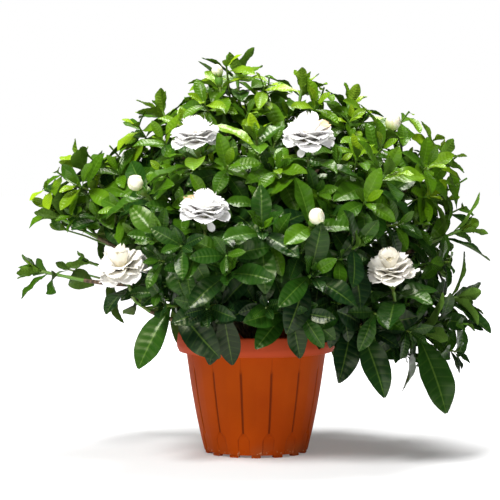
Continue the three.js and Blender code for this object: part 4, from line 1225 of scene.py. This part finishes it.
class Crowd:
    """The blades that have grown, kept in coarse cells, so that a new one can be set clear of them."""

    def __init__(self):
        self.cells = {}
        rows, columns = 5, 3
        ids = np.arange(rows * columns).reshape(rows, columns)
        self.faces = quads_of(ids).tolist()
        self.share = np.linspace(0.16, 1, rows)

    def sheet(self, leaf, lift):
        centre, normal = leaf_line(leaf, self.share)
        width = (leaf["half_width"] * leaf_width(self.share))[:, None]
        edge = normal * math.sin(LEAF_FOLD) * width
        aside = leaf["side"] * width
        points = np.stack([centre - aside + edge, centre, centre + aside + edge], 1)
        return (points + normal[:, None] * lift).reshape(-1, 3)

    def cells_over(self, points):
        low = (points.min(axis=0) // CELL).astype(int)
        high = (points.max(axis=0) // CELL).astype(int)
        return itertools.product(*(range(a, b + 1) for a, b in zip(low, high)))

    def add(self, points, faces):
        tree = BVHTree.FromPolygons(points.tolist(), faces)
        for cell in self.cells_over(points):
            self.cells.setdefault(cell, []).append(tree)

    def crosses(self, points):
        tree = BVHTree.FromPolygons(points.tolist(), self.faces)
        return any(
            tree.overlap(other)
            for cell in self.cells_over(points) for other in self.cells.get(cell, ())
        )

    def takes(self, leaf):
        sheets = [self.sheet(leaf, lift) for lift in (BLADE_CLEARANCE, -BLADE_CLEARANCE)]
        if not in_outline(sheets[0]) or hides_flower(sheets[0]):
            return False
        if any(self.crosses(sheet) for sheet in sheets):
            return False
        self.add(self.sheet(leaf, 0), self.faces)
        return True


def in_outline(points):
    """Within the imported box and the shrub's outline, and clear of the pot."""
    low = np.array(cad_box[0]) / MM + 2
    high = np.array(cad_box[1]) / MM - 2
    if np.any(points < low) or np.any(points > high):
        return False
    x, y, z = points.T
    dome = np.sqrt(np.clip(1 - (y / 330) ** 2, 0, 1))
    top = 240 + (np.interp(x, *zip(*HIGH_EDGE)) - 240) * dome
    bottom = np.interp(x, *zip(*LOW_EDGE))
    out = (z > top) | (z < bottom) | ((z < POT_HEIGHT + 12) & (np.hypot(x, y) < RIM_RADIUS + 14))
    for left, right, floor_z, ceiling in OPEN_AIR:
        out |= (x > left) & (x < right) & (z > floor_z) & (z < ceiling)
    return not np.any(out)


# The hulls' radii and how far up the flower each is
BLOOM_HULL = [(6, -2), (38, -9), (44, 4), (40, 28), (20, 48)]
BUD_HULL = [(4, 0), (13, 12), (8, 26)]


def flower_hull(shoot):
    """A rough hull round a bloom or a bud, which leaves keep clear of."""
    size = shoot.flower
    rows = BLOOM_HULL if shoot.bloom else BUD_HULL
    ring = ring_of(*cross_axes(shoot.axis), np.linspace(0, 2 * math.pi, 9)[:-1])
    base = shoot.tip + shoot.axis * CALYX["bloom" if shoot.bloom else "bud"]
    points = np.concatenate([base + shoot.axis * up * size + ring * radius * size for radius, up in rows])
    ids = np.arange(len(points)).reshape(len(rows), 8)
    walls = np.stack([ids[:-1], np.roll(ids, -1, 1)[:-1], np.roll(ids, -1, 1)[1:], ids[1:]], -1)
    return points, walls.reshape(-1, 4).tolist() + [ids[-1].tolist()]


def hides_flower(points):
    """Leaves don't grow in front of the blooms that stand out to the front."""
    for shoot in shoots:
        if not shoot.bloom or shoot.tip[1] > -100:
            continue
        heart = shoot.tip + shoot.axis * 24 * shoot.bloom
        aside = np.hypot(points[:, 0] - heart[0], points[:, 2] - heart[2])
        if np.any((points[:, 1] < heart[1] + 12) & (aside < 33 * shoot.bloom)):
            return True
    return False


def facing(at):
    """Side shoots turn a little out of the crowd, to the front or the back."""
    return (FRONT if at[1] < 50 else -FRONT) * 0.4


def side_shoots(parent, first):
    """Small rosettes round a main one, set aside from it and a little back."""
    for k in range(SIDE_SHOOTS):
        lot = [draw(parent.index, 70 + k, which) for which in range(4)]
        back = 14 + 50 * lot[0]
        around = parent.index * 1.7 + (k + 0.6 * lot[1]) * 2 * math.pi / SIDE_SHOOTS
        way = parent.radial(back, around)
        at = parent.along(back) + way * (40 + 30 * lot[2])
        leaf = parent.leaf * (0.58 + 0.22 * lot[3])
        tilt = outward(at) * 0.6 + way * 0.3 + facing(at)
        side = Shoot(first + k, f"{parent.name}_{k}", at, leaf, 3, {"tilt": tilt})
        side.root_point = parent.along(min(back + 30, STEM_LENGTH))
        yield side


def outline_shoots(first):
    forks = np.array([shoot.base for shoot in shoots])
    for k, (at, leaf) in enumerate(OUTLINE_SHOOTS):
        side = Shoot(first + k, f"outline_{k}", at, leaf, 4, {"tilt": outward(at) * 0.5 + facing(at)})
        side.root_point = forks[np.argmin(np.linalg.norm(forks - side.base, axis=1))]
        yield side


def grow(shoot):
    for whorl in shoot.whorls:
        for place in range(WHORL_LEAVES):
            tries = (shoot.whorl_leaf(whorl, place, bend) for bend in BENDS)
            leaf = next((one for one in tries if crowd.takes(one)), None)
            if leaf:
                shoot.grown.append(leaf)


def twig_leaves(shoot):
    """Old leaves along a twig, turned outward to the light."""
    path = bowed(shoot.twig_start, shoot.base, shoot.start, 30)
    for k in range(TWIG_LEAVES):
        identity = 20000 + shoot.index * 20 + k
        lot = [draw(identity, 8, which) for which in range(5)]
        at = int((0.2 + 0.78 * (k + lot[0]) / TWIG_LEAVES) * 29)
        axis = unit(path[min(at + 1, 29)] - path[max(at - 1, 0)])
        across, over = cross_axes(axis)
        for turn in (0, 0.7, -0.7, 1.4, -1.4, 2.1):
            out = spoke(across, over, k * 2.4 + lot[1] + turn)
            heading = unit(axis * 0.45 + out + outward(path[at]) * 0.4 - UP * 0.15)
            normal = square_to(unit(outward(path[at]) * 0.5 + UP * 0.5) - heading * 0.3, heading)
            size = (60 + 26 * lot[2], 14 + 5 * lot[2])
            leaf = sheet(path[at] + out * 2, heading, normal, *size, 0.5 + 0.5 * lot[3], identity, 3.2)
            if crowd.takes(leaf):
                yield leaf
                break


def single_leaf(index, stalk, tip, half_width):
    """A leaf from its stalk to its tip, with the first face that crosses no other leaf."""
    stalk, tip = np.array(stalk, float), np.array(tip, float)
    for lean in (0.3, 0.8, 1.6, 0, 3):
        heading, normal, length = reaching(stalk, tip, FRONT + UP * lean, SINGLE_ARCH)
        leaf = sheet(stalk, heading, normal, length, half_width, SINGLE_ARCH, 30000 + index, 1)
        if not any(crowd.crosses(crowd.sheet(leaf, lift)) for lift in (0, 1)):
            break
    crowd.add(crowd.sheet(leaf, 0), crowd.faces)
    return leaf


def form_mesh(index):
    """One of the few blades that side leaves are copied from, lying along X."""
    arch = FORM_ARCHES[0] + FORM_ARCHES[1] * index
    leaf = sheet(np.zeros(3), np.array((1.0, 0, 0)), UP, FORM_LENGTH, FORM_LENGTH * 0.215, arch, 900 + index)
    grid = Grid(8, 4)
    points = leaf_points(grid, leaf, **FORM_BLADE) * MM
    mesh = mesh_of(f"blade_form_{index}", points.tolist(), grid.faces.tolist())
    lay_out(mesh, "blade", grid.uv[grid.faces])
    keep(mesh, "under", "FACE", grid.under)
    smooth(mesh)
    return mesh


forms = bpy.data.collections.new("blade_forms")
bpy.context.scene.collection.children.link(forms)
for index in range(FORMS):
    forms.objects.link(bpy.data.objects.new(f"blade_form_{index}", form_mesh(index)))


def leafing_tree(material):
    """A copy of a blade form at each point, turned and sized as the point says."""
    given, add, close = nodes_for("leafing", [("Size", "Float", 1.0)])
    blades = add("GeometryNodeCollectionInfo", Collection=forms, Separate_Children=True, Reset_Children=True)
    turn, size, kind = [
        add("GeometryNodeInputNamedAttribute", {"data_type": data_type}, Name=name)
        for data_type, name in (("FLOAT_VECTOR", "turn"), ("FLOAT", "size"), ("INT", "form"))
    ]
    whole = add("ShaderNodeMath", {"operation": "MULTIPLY"}, n0=size, n1=given["Size"])
    placed = add(
        "GeometryNodeInstanceOnPoints", Points=given["Geometry"], Instance=blades,
        Pick_Instance=True, Instance_Index=kind, Rotation=turn, Scale=whole,
    )
    return close(placed, material)


def side_leaf_mesh(name, leaves):
    """The side leaves of one limb, as points that carry their turn, size, form, age and tone."""
    spots = mesh_of(name, [leaf["base"] * MM for leaf in leaves], [])
    keep(spots, "size", "POINT", [leaf["length"] / FORM_LENGTH for leaf in leaves])
    keep(spots, "age", "POINT", [leaf_age_and_shade(leaf) for leaf in leaves])
    keep(spots, "tone", "POINT", [draw(leaf["id"], 6, 1) for leaf in leaves])
    frames = [Matrix((leaf["heading"], -leaf["side"], leaf["normal"])).transposed() for leaf in leaves]
    turns = [leaf_frame.to_euler() for leaf_frame in frames]
    spots.attributes.new("turn", "FLOAT_VECTOR", "POINT").data.foreach_set("vector", np.ravel(turns))
    arches = np.array([leaf["arch"] for leaf in leaves])
    kinds = np.clip(np.round((arches - FORM_ARCHES[0]) / FORM_ARCHES[1]), 0, FORMS - 1).astype(int)
    spots.attributes.new("form", "INT", "POINT").data.foreach_set("value", kinds)
    mesh = grown(stand(name, spots), leafing_tree(leaf_green), {"Size": 1.0})
    for key in ("turn", "size", "form"):
        if key in mesh.attributes:
            mesh.attributes.remove(mesh.attributes[key])
    return mesh


crowd = Crowd()
for shoot in shoots:
    for leaf in shoot.grown:
        crowd.add(crowd.sheet(leaf, 0), crowd.faces)
    if shoot.flower:
        crowd.add(*flower_hull(shoot))

groups = [{"leaves": [], "stems": []} for _ in FORKS]
fork_ends = np.array(list(FORKS.values()), float)


def group_at(point):
    """The leaves and stems that hang on the limb whose end is nearest."""
    return groups[int(np.argmin(np.linalg.norm(fork_ends - point, axis=1)))]


sides = list(outline_shoots(200))
for parent in shoots:
    sides += side_shoots(parent, 300 + parent.index * SIDE_SHOOTS)
for index, (stalk, tip, half_width) in enumerate(SINGLE_LEAVES):
    group_at(stalk)["leaves"].append(single_leaf(index, stalk, tip, half_width))
for side in sides:
    grow(side)
    if len(side.grown) < FEWEST_LEAVES:
        continue
    group = group_at(side.base)
    group["leaves"] += side.grown
    stem = np.concatenate([bowed(side.root_point, side.base, side.start, 5), [side.middle, side.tip]])
    group["stems"].append((stem, np.linspace(SIDE_STEM_RADIUS + 0.6, SIDE_STEM_RADIUS - 0.4, 7)))
for shoot in shoots:
    groups[shoot.fork]["leaves"] += twig_leaves(shoot)
for name, group in zip(FORKS, groups):
    seat(side_leaf_mesh("side_" + name, group["leaves"]), "side_leaves_" + name)
    stems = stems_mesh("side_stems_" + name, group["stems"], stem_green, **SIDE_TUBE)
    seat(stems, "side_stems_" + name)
for form in list(forms.objects):
    bpy.data.objects.remove(form)
bpy.data.collections.remove(forms)

# Blooms
# Double white flowers: six broad outer petals, six raised between them, three more and a furled heart
# of small cream petals. Each petal is a closed sheet, cupped, with a softly ruffled rounded end.

PETAL_LAYERS = [
    {"count": 6, "angle": 76, "length": 38, "half_width": 15.5, "arch": 0.4, "low": 0, "radius": 4.4},
    {"count": 6, "angle": 49, "length": 39, "half_width": 14.5, "arch": 0.35, "low": 4.2, "radius": 5},
    {"count": 3, "angle": 20, "length": 39, "half_width": 13, "arch": -0.2, "low": 8.4, "radius": 4.6},
]
PETAL_ROOT_HEIGHT = 3.2
PETAL_THICKNESS = 0.5
PETAL_GRID = Grid(12, 12)
PETAL_CUP = 0.2
PETAL_SHOULDER = 0.72
HEART_PETALS = 7
PETAL_COLOURS = {
    "white": (0.95, 0.94, 0.96), "warm": (0.95, 0.94, 0.9),
    "cream": (0.8, 0.7, 0.42), "withered": (0.72, 0.5, 0.26),
}


def petal_finish():
    glow = {"Subsurface_Weight": 0.2, "Subsurface_Scale": 0.004, "Subsurface_Radius": (1, 0.92, 0.9)}
    finish = Finish("petal", Roughness=0.55, **glow)
    place = finish.node("UVMap", {"uv_map": "petal"})
    along = finish.part(place, 1)
    cream = finish.value("age")
    stretched = finish.node("Mapping", None, {"Vector": place, "Scale": (26, 3, 1)})
    streak = finish.noise(1, 3, stretched)
    cloud = finish.noise(60, 2)
    white = finish.mix(cloud.between(0.35, 0.7), PETAL_COLOURS["white"], PETAL_COLOURS["warm"])
    depth = cream + along.between(0.5, 0) * 0.55
    colour = finish.mix(depth.between(0, 1.2), white, PETAL_COLOURS["cream"])
    wilt = finish.value("tone") * along.between(0.6, 0.8)
    colour = finish.mix(wilt, colour, PETAL_COLOURS["withered"])
    finish.feed(Base_Color=colour, Normal=finish.bump(streak, 0.0005, 0.35))
    return finish.material


def petal_width(t):
    body = np.clip(t / PETAL_SHOULDER, 0, 1) ** 0.72
    end = np.sqrt(np.clip(1 - ((t - PETAL_SHOULDER) / 0.285) ** 2, 0, 1))
    return np.where(t < PETAL_SHOULDER, body, end)


def petal_points(petal, ruffle, cup, ragged=0.05):
    """A petal's points: cupped across, ruffled along its rim, with a ragged end that curls over."""
    lot = [draw(petal["id"], 9, which) for which in range(4)]
    across = PETAL_GRID.s
    side = np.abs(across)
    t = PETAL_GRID.t * 0.992 + 0 * side
    notch = ragged * eased(t, 0.7, 1) * np.cos(across * (6 + 4 * lot[0]) + 6 * lot[1])
    centre, normal = leaf_line(petal, t - notch * 0.6)
    width = np.maximum(petal["half_width"] * petal_width(t), 1.2)
    spread = width * across * math.cos(PETAL_CUP)
    waves = np.sin(across * 4.2 + 6 * lot[2]) * 0.7 + side**2 * np.sin(t * 9 + across * 2 + 6 * lot[3])
    lift = width * math.sin(PETAL_CUP) * side**1.6 * (1 + cup)
    lift += ruffle * eased(t, 0.35, 1) * waves - 2.2 * eased(t, 0.75, 1) * (1 - cup)
    upper = centre + petal["side"] * spread[..., None] + normal * lift[..., None]
    return PETAL_GRID.points(upper, normal, PETAL_THICKNESS)


PETAL_ROLL = 0.1
PETAL_SPREAD = 1.36

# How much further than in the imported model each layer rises, and how much it curls over
PETAL_RISE = (17, 9, 0)
PETAL_CURL = (0.95, 0.9, 0.2)

# Blooms that aren't fully open yet: how large their petals are, how much they rise and hang over
YOUNGER = {"left_front": (0.88, 4, 1.4), "right_front": (0.87, 7, 1), "front_high": (0.94, 2, 0.95)}

# Petals that fill in between the layers, each with the layer that it stands over
BETWEEN = [{"layer": 0, "raise": 10, "up": 1.6}, {"layer": 1, "raise": 10, "up": 1.6}]

# Where the tip of a bloom's one withered petal is, along X and Z
WITHERED = {"upper_right": (101, 497), "front_high": (-97, 393)}


def petal_way(shoot, around, lean):
    """The way out from a bloom's axis, the way that a petal leans there, and square to its face."""
    radial = spoke(*cross_axes(shoot.axis), around)
    heading = shoot.axis * math.cos(lean) + radial * math.sin(lean)
    return radial, heading, shoot.axis * math.sin(lean) - radial * math.cos(lean)


def layer_petal(shoot, which, k, lifted=0, up=0):
    """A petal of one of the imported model's layers, or one raised between two of them."""
    layer = PETAL_LAYERS[which]
    lot = [draw(shoot.index, which * 10 + k + 3 * lifted, use) for use in range(9)]
    turn = 0.5 if lifted else 0
    grown_to, closed, hang = YOUNGER.get(shoot.name, (1, 0, 1))
    around = (which * 0.5 + k + 0.5 + turn) * math.pi / 3 + (lot[6] - 0.5) * (0.4 if lifted else 0.08)
    lean = math.radians(layer["angle"] - PETAL_RISE[which] - closed - lifted + (lot[7] - 0.5) * 6)
    radial, heading, normal = petal_way(shoot, around, lean)
    rise = CALYX["bloom"] + GAP + (layer["low"] + up + PETAL_ROOT_HEIGHT / 2) * shoot.bloom
    return sheet(
        shoot.tip + shoot.axis * rise + radial * layer["radius"] * shoot.bloom * 0.87, heading,
        normal * math.cos(PETAL_ROLL) - np.cross(heading, normal) * math.sin(PETAL_ROLL),
        layer["length"] * shoot.bloom * grown_to * (1 + 0.12 * lot[8]),
        layer["half_width"] * shoot.bloom * grown_to * PETAL_SPREAD,
        PETAL_CURL[which] * hang - 0.01 * lifted,
        shoot.index * 50 + which * 10 + k + 7 * (lifted > 0),
    )


def heart_petal(shoot, k):
    """Small cream petals furled round the middle, each inside the one before."""
    radial, heading, normal = petal_way(shoot, k * 2.4 + shoot.index, math.radians(30 - 3.5 * k))
    base = shoot.tip + shoot.axis * (CALYX["bloom"] + GAP + 9 * shoot.bloom)
    base += radial * (3.4 - 0.35 * k) * shoot.bloom
    size = ((30 - 1.2 * k) * shoot.bloom, (10 - 0.6 * k) * shoot.bloom)
    return sheet(base, heading, normal, *size, -0.7, shoot.index * 50 + 40 + k)


# The narrow petal that hangs beside the calyx of some blooms: the way it points
DROOPING = {"upper_right": (-0.4, -0.7, -0.7), "front_high": (0.35, -0.7, -0.7)}

# The club-ended style that stands out of some blooms: where it starts and ends
STYLES = {
    "left_front": ((-161, -206, 289), (-149, -208, 293)),
    "right_front": ((220, -210, 286), (233, -212, 291)),
}
STYLE_RADII = (1.1, 1.2, 1.3, 1.9, 2.4, 1.6)
STYLE_SLEEVE = Sleeve(6, 8)


def drooping_petal(shoot):
    heading = unit(DROOPING[shoot.name])
    normal = square_to(FRONT + UP * 0.3, heading)
    base = shoot.tip + shoot.axis * (CALYX["bloom"] + 1) + heading * [12, 12, 0]
    return sheet(base, heading, normal, 25 * shoot.bloom, 6.5 * shoot.bloom, 0.4, shoot.index * 50 + 49)


def bloom_petals(shoot):
    """Each petal of a bloom, with its folds (ruffle, cup and raggedness) and its age."""
    aging = 0.28 * eased(shoot.tip[2], 340, 270)
    for which, layer in enumerate(PETAL_LAYERS):
        for k in range(0, 6, 6 // layer["count"]):
            folds = (1.1 + 0.3 * which, 0.2 + 0.3 * which, 0.05 + 0.03 * which)
            yield layer_petal(shoot, which, k), folds, 0.06 + 0.1 * which + aging
    for extra in BETWEEN:
        for k in range(6):
            petal = layer_petal(shoot, extra["layer"], k, extra["raise"], extra["up"])
            yield petal, (1.3, 0.4, 0.07), 0.12 + aging
    for k in range(HEART_PETALS):
        yield heart_petal(shoot, k), (0.7, 1), 0.45 + 0.06 * k + aging


def withered_petal(shoot, petals):
    """The petal whose tip is nearest to where the withered one is."""
    if shoot.name not in WITHERED:
        return None
    tips = np.array([leaf_line(petal, np.array([0.9]))[0][0] for petal, *_ in petals])
    return int(np.argmin(np.linalg.norm(tips[:, [0, 2]] - WITHERED[shoot.name], axis=1)))


petal_white = petal_finish()
for shoot in shoots:
    if not shoot.bloom:
        continue
    gathered = Gathered()
    petals = list(bloom_petals(shoot))
    spoilt = withered_petal(shoot, petals)
    for which, (petal, folds, age) in enumerate(petals):
        gathered.add(PETAL_GRID, petal_points(petal, *folds), age=age, tone=which == spoilt)
    if shoot.name in DROOPING:
        gathered.add(PETAL_GRID, petal_points(drooping_petal(shoot), 0.6, 0.5), age=0.2)
    if shoot.name in STYLES:
        start, end = np.array(STYLES[shoot.name], float)
        path = start + np.linspace(0, 1, 6)[:, None] * (end - start)
        gathered.add(STYLE_SLEEVE, STYLE_SLEEVE.points(path, STYLE_RADII), age=0.3)
    node = "bloom_" + shoot.name
    seat(gathered.mesh(node, [petal_white], "petal"), "petals_" + shoot.name, [node])

# Buds
# Plump cream buds, each one closed form seated in its calyx. The furled petals wind round it in three
# ridges, and it is green towards the calyx.

BUD_PROFILE = [
    (3.4, 0), (7.6, 2.6), (10.6, 6.2), (12.4, 10.5), (12.5, 14.5), (10.6, 18.6), (7, 22.4), (2.6, 25.4),
]
BUD_HEIGHT = 25.6
BUD_FURLS = 3
BUD_TURN = 0.9
BUD_SLEEVE = Sleeve(len(BUD_PROFILE) * 3, 30)
BUD_COLOURS = {"foot": (0.4, 0.5, 0.1), "petal": (0.8, 0.77, 0.58), "ridge": (0.6, 0.6, 0.25)}


def bud_finish():
    finish = Finish("bud", Roughness=0.5, Subsurface_Weight=0.1, Subsurface_Scale=0.002)
    place = finish.node("UVMap", {"uv_map": "bud"})
    along = finish.part(place, 1)
    turns = finish.part(place, 0) * BUD_FURLS + along * BUD_TURN
    wound = turns.maths("FRACT", turns)
    colour = finish.mix(along.between(0.05, 0.55), BUD_COLOURS["foot"], BUD_COLOURS["petal"])
    colour = finish.mix(wound.between(0.75, 1) * 0.6, colour, BUD_COLOURS["ridge"])
    finish.feed(Base_Color=colour, Normal=finish.bump(finish.noise(200), 0.0003, 0.4))
    return finish.material


def bud_points(shoot):
    """Rings up the bud, drawn in along each furl's edge, which winds round as it rises."""
    share = np.linspace(0, 1, len(BUD_PROFILE) * 3)
    radii, ups = zip(*BUD_PROFILE)
    radius = np.interp(share * BUD_HEIGHT, ups, radii) * shoot.bud
    base = shoot.tip + shoot.axis * (CALYX["bud"] + GAP)
    path = base + np.outer(share * BUD_HEIGHT * shoot.bud, shoot.axis)
    wound = BUD_SLEEVE.angles * BUD_FURLS / (2 * math.pi) + share[:, None] * BUD_TURN
    return BUD_SLEEVE.points(path, radius[:, None] * (1 - 0.16 * np.mod(wound, 1)))


bud_cream = bud_finish()
for shoot in shoots:
    if not shoot.bud:
        continue
    gathered = Gathered()
    gathered.add(BUD_SLEEVE, bud_points(shoot))
    node = "bud_" + shoot.name
    seat(gathered.mesh(node, [bud_cream], "bud"), "furled_" + shoot.name, [node])
